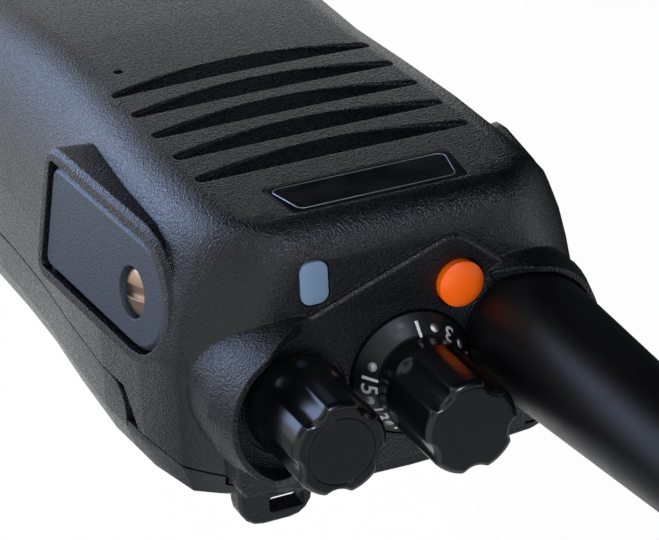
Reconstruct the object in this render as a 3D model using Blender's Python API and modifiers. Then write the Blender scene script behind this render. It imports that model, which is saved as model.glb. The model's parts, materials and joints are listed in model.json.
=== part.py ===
"""Hand-held two-way radio, modelled as the pieces it comes apart into.

Z points up along the radio, which stands on its base at Z = 0. The front face
looks along -Y. The X = 0 and Y = 0 planes pass through the channel knob, so
+X is the side with the volume knob and -X the side with the antenna.
All sizes are in metres.
"""
import math

import bmesh
import bpy
from mathutils import Matrix, Vector

# Whole body
DECK_H = 0.1250          # base to the raised knob platform
BODY_W = 0.0560          # width over the sides
FRONT_D = 0.0184         # knob plane to the front face, at the deck
FRONT_LEAN = 0.0027      # how much further forward the face stands at the waist
BACK_D = 0.0163          # knob plane to the back
WALL = 0.0020            # moulded wall
GAP = 0.0003             # clearance between pieces that meet
SNUG = 0.0002            # clearance around small inserts and pins
OVERRUN = 0.0010         # how far a cutter runs past what it cuts

# Cross-section of the body
CROWN = 0.0006           # bow of the front face at the waist
BEVEL_D = 0.0110         # depth of the bevel between front face and side
FACE_EDGE_R = 0.0030     # rounding where the front face turns into the bevel
SIDE_EDGE_R = 0.0040     # rounding where the bevel turns into the side
SIDE_TAPER = 0.0016      # how far the sides come in towards the bevel
HIP_D = 0.0015           # knob plane forwards to where they start to come in
BACK_EDGE_R = 0.0045     # rounding of the back corners
BACK_CROWN = 0.0012      # bow of the back at the deck
FOOT_R = 0.0020          # rounding around the base
FOOT_IN = 0.0015         # how far the base stands in

# Rows of the body above the base:
# height, width, face width, crown and bevel as shares of the sizes above
BODY_ROW_SHARES = (
    (0.10, 0.965, 0.748, 0.80, 0.78),
    (0.36, 0.960, 0.738, 0.90, 0.82),
    (0.47, 0.950, 0.705, 0.95, 0.92),
    (0.56, 0.955, 0.700, 0.90, 1.00),
    (0.66, 0.980, 0.725, 0.55, 0.95),
    (0.77, 0.995, 0.743, 0.22, 0.82),
    (0.86, 0.965, 0.743, 0.08, 0.72),
)
WAIST_SHARE = 0.47       # row from which the face leans back towards the deck
# Top edge of the body, where the sides and the face turn into the deck
STEP_H = 0.0008          # rise of the knob platform above the deck
SHOULDER_DROP = 0.0077   # deck to the edge between a side and its shoulder
SHOULDER_WIDTH_SHARE = 0.918     # of the width: across those edges
SHOULDER_IN = 0.0064     # how far the shoulders draw in
FACE_EDGE_IN = 0.0072    # how far the face's side edges draw in with them
BROW_IN = 0.0036         # how far the front face draws in
REAR_IN = 0.0026         # how far the back draws in
# drop, side, front and back draw-in as shares of the sizes above
SHOULDER_ROW_SHARES = (
    (1.00, 0.00, 0.00, 0.20),
    (0.62, 0.32, 0.00, 0.36),
    (0.26, 0.66, 0.12, 0.62),
    (0.09, 0.85, 0.52, 0.82),
    (0.00, 1.00, 1.00, 1.00),
)

# Parting between the front housing and what closes its back
PART_D = 0.0064          # knob plane to the parting beside the battery pack
PART_TOP_D = 0.0120      # the same behind the knobs
PART_EDGE_D = 0.0108     # the same at the top corners
PART_EDGE_X = 0.0218     # where the top corners' step lies
PACK_DROP = 0.0227       # knob platform to the top of the battery pack
PACK_JOG_H = 0.0036      # height over which the parting steps back above the pack
PACK_CORNER_R = 0.0035   # rounding of the pack's front top edge

# Knobs, button and antenna on the deck
KNOB_PITCH = 0.0148      # between the knob axes
KNOB_Y = 0.0012          # knob axes behind the plane Y = 0
CHANNEL_X = 0.0001
VOLUME_X = CHANNEL_X + KNOB_PITCH
KNOB_R = 0.0057          # over the lobes, at the top
KNOB_SKIRT_R = 0.0061    # foot of the volume knob
CHANNEL_SKIRT_R = 0.0055
KNOB_SKIRT_H = 0.0022
KNOB_EDGE_R = 0.0007
VOLUME_TOP_H = 0.0133    # deck platform to the top of the volume knob
CHANNEL_TOP_H = 0.0158   # the same for the channel knob
FLUTES = 5
FLUTE_D = 0.0008
FLUTE_HALF_ANGLE = math.radians(20)
SHAFT_R = 0.0021
SHAFT_FLAT = 0.0010      # depth of the flat on a shaft
SHAFT_END = 0.0040       # top of a knob to the top of its shaft
BUSHING_R = 0.0032
NUT_R = 0.0046
NUT_H = 0.0015
VOLUME_BASE_H = 0.0006   # platform to the foot of the volume knob
KNOB_CLEAR = 0.0005      # dial ring to the foot of the channel knob
CAP_GROOVE_R = 0.0040    # thin groove in the top of the volume knob
CAP_GROOVE_W = 0.0004

WELL_R = 0.0067          # shallow recess under the volume knob
WELL_D = 0.0006
GUARD_TOP_H = 0.0039     # guard wall above the platform
GUARD_BORE_R = 0.0084    # inside of the guard around the volume knob
GUARD_WALL = 0.0007      # its thickness at the rim
GUARD_DRAFT = 0.0010     # how much thicker it is at its foot
GUARD_START = 0.0016     # where the guard starts to rise, short of the axis
GUARD_RUN = 0.0058       # how far it takes to rise

DIAL_R = 0.0075          # numbered ring around the channel knob
DIAL_TOP_R = 0.0057
DIAL_TOP_H = 0.0022      # above the platform
DIAL_RECESS_D = 0.0009
DIAL_RECESS_R = 0.0078

ANTENNA_X = -0.0145
ANTENNA_Y = -0.0009
ANTENNA_R = 0.0077       # at its foot
ANTENNA_TIP_R = 0.0042
ANTENNA_L = 0.1080
ANTENNA_WAIST_R = 0.0052
ANTENNA_WAIST_L = 0.0500
MOUTH_R = 0.0080         # inside of the guard around its foot
COLLAR_TOP_H = 0.0026    # guard wall around the antenna's outer side
COLLAR_WALL = 0.0006
STUD_R = 0.0030
STUD_L = 0.0080
STUD_HEAD_L = 0.0060     # how far the stud reaches up into the antenna
SOCKET_R = 0.0050
SOCKET_L = 0.0110

BUTTON_X = -0.0065
BUTTON_Y = -0.0085
BUTTON_R = 0.0028
BUTTON_DOME = 0.0006
BUTTON_RISE = 0.0007     # rim above the platform
BUTTON_DISH_R = 0.0038
BUTTON_DISH_D = 0.0004
BUTTON_TRAVEL = 0.0007
BUTTON_FLANGE_R = 0.0036
BUTTON_FLANGE_T = 0.0008
TOP_SWITCH_W = 0.0060

PLATFORM_CORNER_R = 0.0030
PLATFORM_EDGE = 0.0003

LED_X = 0.0112
LED_Y = -0.0123
LED_W = 0.0034
LED_L = 0.0052
LED_CORNER_R = 0.0012

# Front face
GRILLE_SLOTS = 5
GRILLE_DROP = 0.0187     # knob platform to the top edge of the upper slot
GRILLE_PITCH = 0.0070
GRILLE_HALF_W = 0.0176
GRILLE_SCOOP_END = 0.0018    # height of a scoop at its ends
GRILLE_SCOOP_MID = 0.0046    # and in the middle
GRILLE_SCOOP_D = 0.0013
GRILLE_END_R = 0.0008        # rounding of a scoop's ends
GRILLE_OPEN_H = 0.0012       # slit through the wall at a scoop's upper edge
PLATE_W = 0.0240
PLATE_H = 0.0078
PLATE_DROP = 0.0062      # knob platform to its top edge
PLATE_D = 0.0007
PLATE_SLANT = 0.0009
PLATE_T = 0.0004
MIC_X = 0.0143
MIC_DROP = 0.0544
MIC_HOLE_R = 0.0007
MIC_R = 0.0030
MIC_L = 0.0026

# Right side: accessory cover
BEZEL_X = 0.0272         # middle of the bezel's outer face
BEZEL_LEAN = math.radians(7)     # it leans inwards towards the top
BEZEL_TURN = math.radians(8)     # and turns towards the front
BEZEL_TIP = math.radians(4)      # and its length tips back with the front face
BEZEL_FRONT = 0.0163     # knob plane to its front edge
BEZEL_REAR = 0.0014
BEZEL_DROP = 0.0101      # knob platform to its top
BEZEL_H = 0.0350
BEZEL_R = 0.0087
BEZEL_FOOT_R = 0.0030
BEZEL_RIM = 0.0021       # its width around the cover
COVER_R = 0.0072
COVER_FOOT_R = 0.0016
RECESS_FOOT_R = 0.0009   # tighter than the cover's, so that it clears the open cover
COVER_T = 0.0022
COVER_SINK = 0.0003      # cover face below the bezel's rim
PIVOT_R = 0.0005         # moulded pivots at the cover's lower end
PIVOT_OUT = 0.0012
BACKING_T = 0.0027       # wall behind the cover
COVER_GROOVE = 0.0004    # width of the gap around the cover
COIN_DROP = 0.0082       # top of the cover to the screw
COIN_Y = -0.0070
COIN_R = 0.0030
COIN_T = 0.0012
COIN_SINK = 0.0002
COIN_DOME = 0.0002
COIN_SLOT_W = 0.0014
COIN_SLOT_D = 0.0008
COIN_SLOT_TURN = math.radians(35)
COIN_STEM_R = 0.0014
INSERT_R = 0.0023
INSERT_L = 0.0024
JACK_R = 0.0026
JACK_L = 0.0070
JACK_BORE_SHARES = (0.48, 0.68)
JACK_UP = 0.0044         # foot of the cover to the lower jack
JACK_PITCH = 0.0085
JACK_BORE_L = 0.0060

# Left side: raised pad, push-to-talk button and two keys
PAD_H = 0.0190
PAD_R = 0.0050
PAD_SINK = 0.0006        # how much nearer to the middle it is than the bezel
FRAME_DROP = 0.0305      # knob platform to the top of the key frame
FRAME_H = 0.0475
FRAME_FRONT = 0.0118
FRAME_REAR = 0.0012
FRAME_OUT = 0.0280       # outer face of the frame
FRAME_T = 0.0034
FRAME_R = 0.0035
FRAME_RIM = 0.0015
PTT_L = 0.0235
PTT_RISE = 0.0011
PTT_TRAVEL = 0.0012
KEY_RISE = 0.0006
KEY_TRAVEL = 0.0006
KEY_GAP = 0.0014
KEY_LIP = 0.0005         # how far a key's flange laps the frame from inside
KEY_LIP_T = 0.0008
KEY_R = 0.0022
KEY_EDGE = 0.0004
SWITCH_T = 0.0016
SWITCH_W = 0.0060
SIDE_BOARD_T = 0.0008
SIDE_BOARD_FRONT = 0.0088
SIDE_BOARD_DROP = 0.0065     # top of the frame to the top of its board

# Inside
SPEAKER_R = 0.0168
SPEAKER_RING = 0.0016
SPEAKER_D = 0.0068
MAGNET_R = 0.0090
SPEAKER_FLARE_R = 0.0145
SPEAKER_RING_T = 0.0010
MAGNET_D = 0.0030
CONE_T = 0.0004
CONE_D = 0.0022
DUST_CAP_R = 0.0040
FELT_R = 0.0140
FELT_T = 0.0004
BOARD_T = 0.0012
BOARD_Y = 0.0016
BOARD_HALF_W = 0.0215
BOARD_LOW = 0.0090
BOARD_DROP = 0.0285      # knob platform to the top of the main board
SHIELD_H = 0.0022
SHIELD_W = 0.0280
SHIELD_ROW_SHARES = ((0.06, 0.36), (0.42, 0.70))   # their ends, along the board
FRAME_PLATE_T = 0.0024
FRAME_PLATE_HALF_W = 0.0226
STANDOFF_R = 0.0022
STANDOFF_X = 0.0185
STANDOFF_SHARES = (0.06, 0.94)     # their height along the board
BOARD_SCREW_R = 0.0009
BOARD_SCREW_L = 0.0032
CONTROL_W = 0.0108       # square bodies of the volume and channel controls
CONTROL_H = 0.0070
CONTROL_BOARD_T = 0.0008
CONTROL_BOARD_REAR = 0.0069
DECK_SKIN = 0.0020

# Strap lug
LUG_X = 0.0162
LUG_W = 0.0092
LUG_OUT = 0.0021         # how far it stands out from the back
LUG_H = 0.0030
LUG_DROP = 0.0038        # knob platform to its top
LUG_SLOT_X = 0.0149
LUG_SLOT_W = 0.0045
LUG_SLOT_L = 0.0020
LUG_SLOT_RIM = 0.0013    # outside of the lug to its slot
LUG_R = 0.0030

# Battery pack, latch and belt clip
CONTACT_W = 0.0030
CONTACT_L = 0.0060
CONTACT_T = 0.0005
CONTACT_RISE = 0.0004    # how far the strips stand out from their base
CONTACT_PITCH = 0.0060
CONTACT_Z = 0.0220
CHARGE_R = 0.0022
CHARGE_PITCH = 0.0085
CHARGE_Z = 0.0130
LATCH_W = 0.0160
LATCH_L = 0.0050
LATCH_T = 0.0014
LATCH_TRAVEL = 0.0018
LATCH_HOOK = 0.0016
LATCH_RAISE = 0.0004
CLIP_W = 0.0180
CLIP_T = 0.0018
CLIP_L = 0.0470          # pin to the lower end
CLIP_THUMB = 0.0090      # how far the thumb end stands above the pivot
CLIP_REACH = 0.0069      # back of the pack to the clip's inner face
CLIP_PIN_R = 0.0010
CLIP_PIN_OUT = 0.0044    # back of the pack to the pin axis
CLIP_TIP_GAP = 0.0004
CLIP_BEND_H = 0.0120     # height over which the clip bends in towards the pack
CLIP_LUG_T = 0.0020
BRACKET_W = 0.0120
BRACKET_T = 0.0016
BRACKET_H = 0.0170
BRACKET_DROP = 0.0093    # top of the pack to the top of the bracket
CLIP_PIVOT_DROP = 0.0070     # top of the bracket to the pin
EAR_T = 0.0020
EAR_R = 0.0021
SPRING_WIRE_R = 0.0004
SPRING_TURNS = 5
SPRING_LEG_L = 0.0035
SPRING_POINTS_PER_TURN = 8
CLIP_SCREW_R = 0.0016
CLIP_SCREW_H = 0.0007
CLIP_SCREW_L = 0.0040
CLIP_SCREW_IN = 0.0028   # from the bracket's ends to its screws
CASE_SCREW_R = 0.0011
CASE_SCREW_L = 0.0070
CASE_SCREW_HEAD_R = 0.0021
CASE_SCREW_HEAD_T = 0.0009
CASE_SCREW_X = 0.0176
CASE_SCREW_LOW = 0.0055
CASE_SCREW_DROP = 0.0025     # top of the pack to the upper screws
BOSS_R = 0.0028

SEAL_R = 0.0006          # cross-section of the antenna seal ring
SEAL_MEAN_R = 0.0060
MIC_BOSS_WALL = 0.0008
MIC_FLOOR = 0.0021       # wall left in front of the microphone

# Values worked out from the sizes above
HALF_W = BODY_W / 2
DECK_FOOT = DECK_H - STEP_H
SHOULDER_Z = DECK_FOOT - SHOULDER_DROP
PACK_H = DECK_H - PACK_DROP
GRILLE_TOP = DECK_H - GRILLE_DROP
PLATE_TOP = DECK_H - PLATE_DROP
MIC_Z = DECK_H - MIC_DROP
SPEAKER_Z = GRILLE_TOP - ((GRILLE_SLOTS - 1) * GRILLE_PITCH + GRILLE_SCOOP_MID) / 2
BEZEL_TOP = DECK_H - BEZEL_DROP
BEZEL_LOW = BEZEL_TOP - BEZEL_H
COVER_FRONT = BEZEL_FRONT - BEZEL_RIM
COVER_REAR = BEZEL_REAR - BEZEL_RIM
COVER_LOW = BEZEL_LOW + BEZEL_RIM
COVER_TOP = BEZEL_TOP - BEZEL_RIM
COIN_Z = COVER_TOP - COIN_DROP
JACK_Z = (COVER_LOW + JACK_UP, COVER_LOW + JACK_UP + JACK_PITCH)
FRAME_TOP = DECK_H - FRAME_DROP
FRAME_LOW = FRAME_TOP - FRAME_H
SIDE_BOARD_TOP = FRAME_TOP - SIDE_BOARD_DROP
BOARD_TOP = DECK_H - BOARD_DROP
LUG_TOP = DECK_H - LUG_DROP
CASE_SCREW_TOP = PACK_H - CASE_SCREW_DROP
BRACKET_TOP = PACK_H - BRACKET_DROP
BRACKET_LOW = BRACKET_TOP - BRACKET_H
CLIP_PIVOT_Z = BRACKET_TOP - CLIP_PIVOT_DROP
CLIP_LOW = CLIP_PIVOT_Z - CLIP_L
LEAN_H = DECK_H * (1 - WAIST_SHARE)
FACE_TILT = math.atan(FRONT_LEAN / LEAN_H)


def front_y(z):
    """Depth of the front face's middle at height z."""
    return -(FRONT_D + FRONT_LEAN * min(1, max(0, (DECK_H - z) / LEAN_H)))


# Scene set-up
for old in list(bpy.data.objects):
    bpy.data.objects.remove(old)

scene = bpy.context.scene
PARTS = bpy.data.collections.new("walkie_talkie")
CUTTERS = bpy.data.collections.new("cutters")
scene.collection.children.link(PARTS)
scene.collection.children.link(CUTTERS)


def make_object(name, mesh, collection=None):
    obj = bpy.data.objects.new(name, mesh)
    (collection or CUTTERS).objects.link(obj)
    return obj


def mesh_of(bm, name):
    bmesh.ops.recalc_face_normals(bm, faces=bm.faces)
    mesh = bpy.data.meshes.new(name)
    bm.to_mesh(mesh)
    bm.free()
    return mesh


def bake(obj):
    """Replaces an object's mesh or curve by its evaluated, welded mesh."""
    swept = obj.type == "CURVE" or any(mod.type == "SCREW" for mod in obj.modifiers)
    depsgraph = bpy.context.evaluated_depsgraph_get()
    mesh = bpy.data.meshes.new_from_object(obj.evaluated_get(depsgraph))
    bm = bmesh.new()
    bm.from_mesh(mesh)
    bmesh.ops.remove_doubles(bm, verts=bm.verts, dist=GAP / 100)
    if swept:
        bmesh.ops.recalc_face_normals(bm, faces=bm.faces)
    bm.to_mesh(mesh)
    bm.free()
    baked = bpy.data.objects.new(obj.name, mesh)
    baked.matrix_world = obj.matrix_world
    for collection in obj.users_collection:
        collection.objects.link(baked)
    name = obj.name
    bpy.data.objects.remove(obj)
    baked.name = name
    return baked


def place(obj, matrix):
    """Moves the mesh itself, so the object keeps its origin."""
    obj.data.transform(matrix)
    return obj


def boolean(obj, other, operation):
    mod = obj.modifiers.new(operation.lower(), "BOOLEAN")
    mod.operation = operation
    mod.solver = "EXACT"
    mod.object = other
    other.hide_render = True
    other.display_type = "WIRE"
    return obj


def cut(obj, *cutters):
    for cutter in cutters:
        boolean(obj, cutter, "DIFFERENCE")
    return obj


def join(obj, *others):
    for other in others:
        boolean(obj, other, "UNION")
    return obj


def common(obj, *others):
    for other in others:
        boolean(obj, other, "INTERSECT")
    return obj


def round_edges(obj, width, segments=2, angle=math.radians(40)):
    mod = obj.modifiers.new("round", "BEVEL")
    mod.width = width
    mod.segments = segments
    mod.limit_method = "ANGLE"
    mod.angle_limit = angle
    return obj


def block(name, low, high, edge=0):
    """A box between two corners, with its edges rounded if edge is given."""
    low, high = Vector(low), Vector(high)
    bm = bmesh.new()
    bmesh.ops.create_cube(bm, size=1)
    size = high - low
    bmesh.ops.scale(bm, vec=size, verts=bm.verts)
    bmesh.ops.translate(bm, vec=(low + high) / 2, verts=bm.verts)
    obj = make_object(name, mesh_of(bm, name))
    if edge:
        round_edges(obj, edge)
        obj = bake(obj)
    return obj


AXIS_TURN = {
    "X": Matrix.Rotation(math.pi / 2, 4, "Y"),
    "Y": Matrix.Rotation(-math.pi / 2, 4, "X"),
    "Z": Matrix.Identity(4),
}


def rod(name, radius, low, high, at, axis="Z", top_radius=None, sides=24):
    """A round bar along an axis, from low to high on that axis."""
    bm = bmesh.new()
    far = radius if top_radius is None else top_radius
    bmesh.ops.create_cone(bm, cap_ends=True, segments=sides, radius1=radius,
                          radius2=far, depth=high - low)
    bmesh.ops.translate(bm, vec=(0, 0, (low + high) / 2), verts=bm.verts)
    obj = make_object(name, mesh_of(bm, name))
    place(obj, AXIS_TURN[axis])
    return place(obj, Matrix.Translation(Vector(at)))


def turned(name, profile, at, steps=32):
    """A turned piece: the profile runs down its outer side, axis to axis."""
    bm = bmesh.new()
    verts = [bm.verts.new((radius, 0, height)) for radius, height in profile]
    for first, second in zip(verts, verts[1:]):
        bm.edges.new((first, second))
    if profile[0][0] > 0 and profile[-1][0] > 0:
        bm.edges.new((verts[-1], verts[0]))
    mesh = bpy.data.meshes.new(name)
    bm.to_mesh(mesh)
    bm.free()
    obj = make_object(name, mesh)
    mod = obj.modifiers.new("turn", "SCREW")
    mod.axis = "Z"
    mod.steps = steps
    mod.render_steps = steps
    mod.use_merge_vertices = True
    mod.merge_threshold = GAP / 100
    obj = bake(obj)
    return place(obj, Matrix.Translation(Vector(at)))


def rounded(corners, radii, steps=4):
    """An outline whose corners are arcs; a radius of zero keeps one sharp."""
    outline = []
    count = len(corners)
    for index, corner in enumerate(corners):
        corner = Vector(corner)
        radius = radii[index] if isinstance(radii, (tuple, list)) else radii
        before = (Vector(corners[index - 1]) - corner)
        after = (Vector(corners[(index + 1) % count]) - corner)
        if not radius:
            outline.append(corner)
            continue
        half = before.angle(after) / 2
        reach = min(radius / math.tan(half), before.length / 2, after.length / 2)
        radius = reach * math.tan(half)
        middle = corner + (before.normalized() + after.normalized()).normalized() * radius / math.sin(half)
        start = corner + before.normalized() * reach - middle
        finish = corner + after.normalized() * reach - middle
        turn = start.angle_signed(finish)
        for step in range(steps + 1):
            outline.append(middle + Matrix.Rotation(-turn * step / steps, 2) @ start)
    return [(point.x, point.y) for point in outline]


FLAT_TURN = {
    # outline given in the plane across the axis, thickness along it
    "Z": Matrix.Identity(4),
    "X": Matrix(((0, 0, 1, 0), (1, 0, 0, 0), (0, 1, 0, 0), (0, 0, 0, 1))),
    "Y": Matrix(((1, 0, 0, 0), (0, 0, -1, 0), (0, 1, 0, 0), (0, 0, 0, 1))),
}


def flat(name, outline, low, high, axis="Z", edge=0):
    """A plate with the given outline, from low to high along an axis.

    The outline is (x, y) for Z, (y, z) for X and (x, z) for Y.
    """
    curve = bpy.data.curves.new(name, "CURVE")
    curve.dimensions = "2D"
    curve.fill_mode = "BOTH"
    curve.extrude = (high - low) / 2 - edge
    if edge:
        curve.bevel_depth = edge
        curve.bevel_resolution = 0
        curve.offset = -edge
    spline = curve.splines.new("POLY")
    spline.points.add(len(outline) - 1)
    for point, (first, second) in zip(spline.points, outline):
        point.co = (first, second, 0, 1)
    spline.use_cyclic_u = True
    obj = bake(make_object(name, curve))
    place(obj, FLAT_TURN[axis])
    middle = (low + high) / 2
    offset = {"X": (middle, 0, 0), "Y": (0, middle, 0), "Z": (0, 0, middle)}[axis]
    return place(obj, Matrix.Translation(Vector(offset)))


def loft(name, loops):
    """Skins closed loops of equal count, bottom to top, and caps both ends."""
    bm = bmesh.new()
    rings = [[bm.verts.new(point) for point in loop] for loop in loops]
    count = len(rings[0])
    for lower, upper in zip(rings, rings[1:]):
        for i in range(count):
            j = (i + 1) % count
            bm.faces.new((lower[i], lower[j], upper[j], upper[i]))
    bm.faces.new(list(reversed(rings[0])))
    bm.faces.new(rings[-1])
    bent = [face for face in bm.faces if len(face.verts) == 4]
    bmesh.ops.triangulate(bm, faces=bent)
    return make_object(name, mesh_of(bm, name))


def finish(obj, name, colour, roughness=0.5, metallic=0.0, origin=None, angle=35):
    """Makes a solid into a named sub-part with its own material."""
    if obj.name in CUTTERS.objects:
        CUTTERS.objects.unlink(obj)
        PARTS.objects.link(obj)
    obj.name = name
    obj.data.name = name
    obj.hide_render = False
    obj.display_type = "TEXTURED"
    material = bpy.data.materials.new(name)
    material.use_nodes = True
    shader = material.node_tree.nodes["Principled BSDF"]
    shader.inputs["Base Color"].default_value = (*colour, 1)
    shader.inputs["Roughness"].default_value = roughness
    shader.inputs["Metallic"].default_value = metallic
    obj.data.materials.clear()
    obj.data.materials.append(material)
    obj.data.shade_smooth()
    obj.data.set_sharp_from_angle(angle=math.radians(angle))
    if origin is not None:
        origin = Vector(origin)
        obj.data.transform(Matrix.Translation(-origin))
        obj.matrix_world = Matrix.Translation(origin)
    return obj


BLACK = (0.013, 0.013, 0.015)
GLOSS_BLACK = (0.018, 0.018, 0.020)
RUBBER = (0.016, 0.016, 0.017)
ORANGE = (0.672, 0.090, 0.009)
WINDOW = (0.300, 0.390, 0.480)
BRASS = (0.600, 0.430, 0.170)
NICKEL = (0.600, 0.580, 0.540)
STEEL = (0.550, 0.550, 0.560)
BOARD_GREEN = (0.020, 0.110, 0.050)
GOLD = (0.800, 0.560, 0.200)


# The body's outer form

def corner_arc(before, corner, after, radius, steps):
    """Points that round one corner of a cross-section."""
    start = corner + (before - corner).normalized() * radius
    stop = corner + (after - corner).normalized() * radius
    points = []
    for step in range(steps + 1):
        t = step / steps
        points.append(start * (1 - t) ** 2 + corner * 2 * t * (1 - t) + stop * t ** 2)
    return points


def body_loop(z, half_w, face_half, face_y, crown, bevel_d, back_y, back_crown, steps):
    """One cross-section: bowed face, bevels, tapered sides and bowed back."""
    face = [Vector((face_half * i / 4, face_y + crown * (i / 4) ** 2)) for i in range(4)]
    edge = Vector((face_half, face_y + crown))
    side = Vector((half_w - SIDE_TAPER, face_y + crown + bevel_d))
    hip = Vector((half_w, -HIP_D))
    back = Vector((half_w, back_y - back_crown))
    back_side = Vector((half_w / 2, back_y - back_crown / 4))
    half = list(face)
    half += corner_arc(face[-1], edge, side, FACE_EDGE_R, steps)
    half += corner_arc(edge, side, hip, SIDE_EDGE_R, steps)
    half.append(hip)
    half += corner_arc(hip, back, back_side, BACK_EDGE_R, steps)
    half.append(back_side)
    half.append(Vector((0, back_y)))
    mirrored = [Vector((-point.x, point.y)) for point in reversed(half[1:-1])]
    return [(point.x, point.y, z) for point in half + mirrored]


def body_solid(name, inset=0, raise_foot=0, lower_top=0):
    """The whole body as one loft, or the same drawn in by an inset."""
    loops = []

    def add(z_cut, z, row, side_in=0, face_in=0, front_in=0, back_in=0, back_crown=0):
        width, face, crown, bevel = row
        half_w = HALF_W * width - inset - side_in
        face_half = HALF_W * face - inset / 2 - face_in
        face_y = front_y(z) + inset + front_in
        back_y = BACK_D - inset - back_in
        steps = 1 if inset else 2
        loops.append(body_loop(z_cut, half_w, face_half, face_y, CROWN * crown, BEVEL_D * bevel,
                               back_y, back_crown, steps))

    foot = BODY_ROW_SHARES[0][1:]
    foot_rows = [(0, FOOT_IN), (FOOT_R / 4, FOOT_IN / 3), (FOOT_R, 0)]
    for z, draw in foot_rows[::2] if inset else foot_rows:
        add(z + raise_foot, z, foot, draw, draw, draw, draw)
    for share, *row in BODY_ROW_SHARES:
        add(share * DECK_H, share * DECK_H, row)
    last = BODY_ROW_SHARES[-1]
    top = (SHOULDER_WIDTH_SHARE, last[2], 0, last[4])
    for drop, side, front, back in SHOULDER_ROW_SHARES[::2] if inset else SHOULDER_ROW_SHARES:
        z = DECK_FOOT - drop * SHOULDER_DROP
        add(z - lower_top, z, top, side * SHOULDER_IN, side * FACE_EDGE_IN, front * BROW_IN,
            back * REAR_IN, back * BACK_CROWN)
    return loft(name, loops)


FAR_Y = BACK_D + LUG_OUT + OVERRUN
TOP_Z = DECK_H + GUARD_TOP_H + OVERRUN


def behind_parting(name):
    """The space behind the front housing: the pack, and the frame's head above it."""
    outline = [(FAR_Y, -OVERRUN), (PART_D, -OVERRUN), (PART_D, PACK_H),
               (PART_EDGE_D, PACK_H + PACK_JOG_H), (PART_EDGE_D, TOP_Z), (FAR_Y, TOP_Z)]
    region = flat(name, outline, -HALF_W - OVERRUN, HALF_W + OVERRUN, "X")
    deck = block(name + "_deck", (-PART_EDGE_X, 0, SHOULDER_Z), (PART_EDGE_X, PART_TOP_D, TOP_Z + OVERRUN))
    return bake(cut(region, deck))


def guard(name, x, y, bore_r, wall, top_h, lean):
    """A guard wall around a knob, rising towards the side that lean points to."""
    top = DECK_H + top_h
    foot = SHOULDER_Z
    solid = turned(name, [(0, top), (bore_r + wall, top), (bore_r + wall + GUARD_DRAFT, DECK_FOOT),
                          (bore_r + wall + GUARD_DRAFT, foot), (0, foot)], (x, y, 0), 44)
    reach = bore_r * 3
    ramp = flat(name + "_ramp", [(-reach, DECK_H), (-GUARD_START, DECK_H),
                                 (GUARD_RUN - GUARD_START, top), (GUARD_RUN - GUARD_START, top + OVERRUN),
                                 (-reach, top + OVERRUN)], -reach, reach, "Y")
    place(ramp, Matrix.Translation(Vector((x, y, 0))) @ Matrix.Rotation(lean, 4, "Z"))
    return bake(cut(solid, ramp))


def platform(name):
    """The raised platform that the knobs and the button stand on."""
    left_x = ANTENNA_X + MOUTH_R * math.cos(math.radians(-83))
    left_y = ANTENNA_Y + MOUTH_R * math.sin(math.radians(-83))
    button_front = BUTTON_Y - BUTTON_DISH_R - PLATFORM_CORNER_R
    corners = [
        (VOLUME_X - GUARD_START, KNOB_Y - GUARD_BORE_R - GUARD_WALL - PLATFORM_EDGE),
        (BUTTON_X + PLATFORM_EDGE, button_front + PLATFORM_EDGE),
        (left_x, left_y),
        (ANTENNA_X, ANTENNA_Y),
        (ANTENNA_X, PART_TOP_D + OVERRUN),
        (VOLUME_X + GUARD_BORE_R - OVERRUN, PART_TOP_D + OVERRUN),
        (VOLUME_X + GUARD_BORE_R - OVERRUN, KNOB_Y),
    ]
    outline = rounded(corners, (0, PLATFORM_CORNER_R, 0, 0, 0, PLATFORM_CORNER_R, PLATFORM_CORNER_R))
    return flat(name, outline, SHOULDER_Z, DECK_H, "Z", PLATFORM_EDGE)


def side_slab(name, front, rear, low, top, x_in, x_out, radii):
    """A rounded pad on the right side of the body."""
    outline = rounded([(-front, low), (rear, low), (rear, top), (-front, top)], radii)
    return flat(name, outline, x_in, x_out, "X", PLATFORM_EDGE * 2)


def grille_cutters():
    """Scoops that deepen upwards, each with a slit through the wall."""
    cutters = []
    for index in range(GRILLE_SLOTS):
        top = GRILLE_TOP - index * GRILLE_PITCH
        face = front_y(top)
        steps = 8
        low_face = front_y(top - GRILLE_SCOOP_MID)
        corners = [(GRILLE_HALF_W, top), (-GRILLE_HALF_W, top)]
        for step in range(steps + 1):
            side = 2 * step / steps - 1
            drop = GRILLE_SCOOP_MID + (GRILLE_SCOOP_END - GRILLE_SCOOP_MID) * side * side
            corners.append((GRILLE_HALF_W * side, top - drop))
        ends = [GRILLE_END_R]
        outline = rounded(corners, ends * 3 + [0] * (steps - 1) + ends, 3)
        scoop = flat("scoop_%d" % index, outline, face - OVERRUN * 2, face + WALL + OVERRUN, "Y")
        under = face + WALL + OVERRUN * 2
        below = top - GRILLE_SCOOP_MID - OVERRUN
        ramp_outline = [(low_face, top - GRILLE_SCOOP_MID), (face + GRILLE_SCOOP_D, top),
                        (face + GRILLE_SCOOP_D, top + OVERRUN), (under, top + OVERRUN),
                        (under, below), (low_face - GRILLE_SCOOP_D / 2, below)]
        ramp = flat("scoop_floor_%d" % index, ramp_outline, -HALF_W, HALF_W, "X")
        cutters.append(bake(cut(scoop, ramp)))
        slit_half = GRILLE_HALF_W - WALL
        slit_top = top - GAP
        slit_low = slit_top - GRILLE_OPEN_H
        slit = rounded([(-slit_half, slit_low), (slit_half, slit_low), (slit_half, slit_top),
                        (-slit_half, slit_top)], GRILLE_OPEN_H / 3, 2)
        cutters.append(flat("slit_%d" % index, slit, face - OVERRUN, face + WALL * 2, "Y"))
    return cutters


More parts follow.
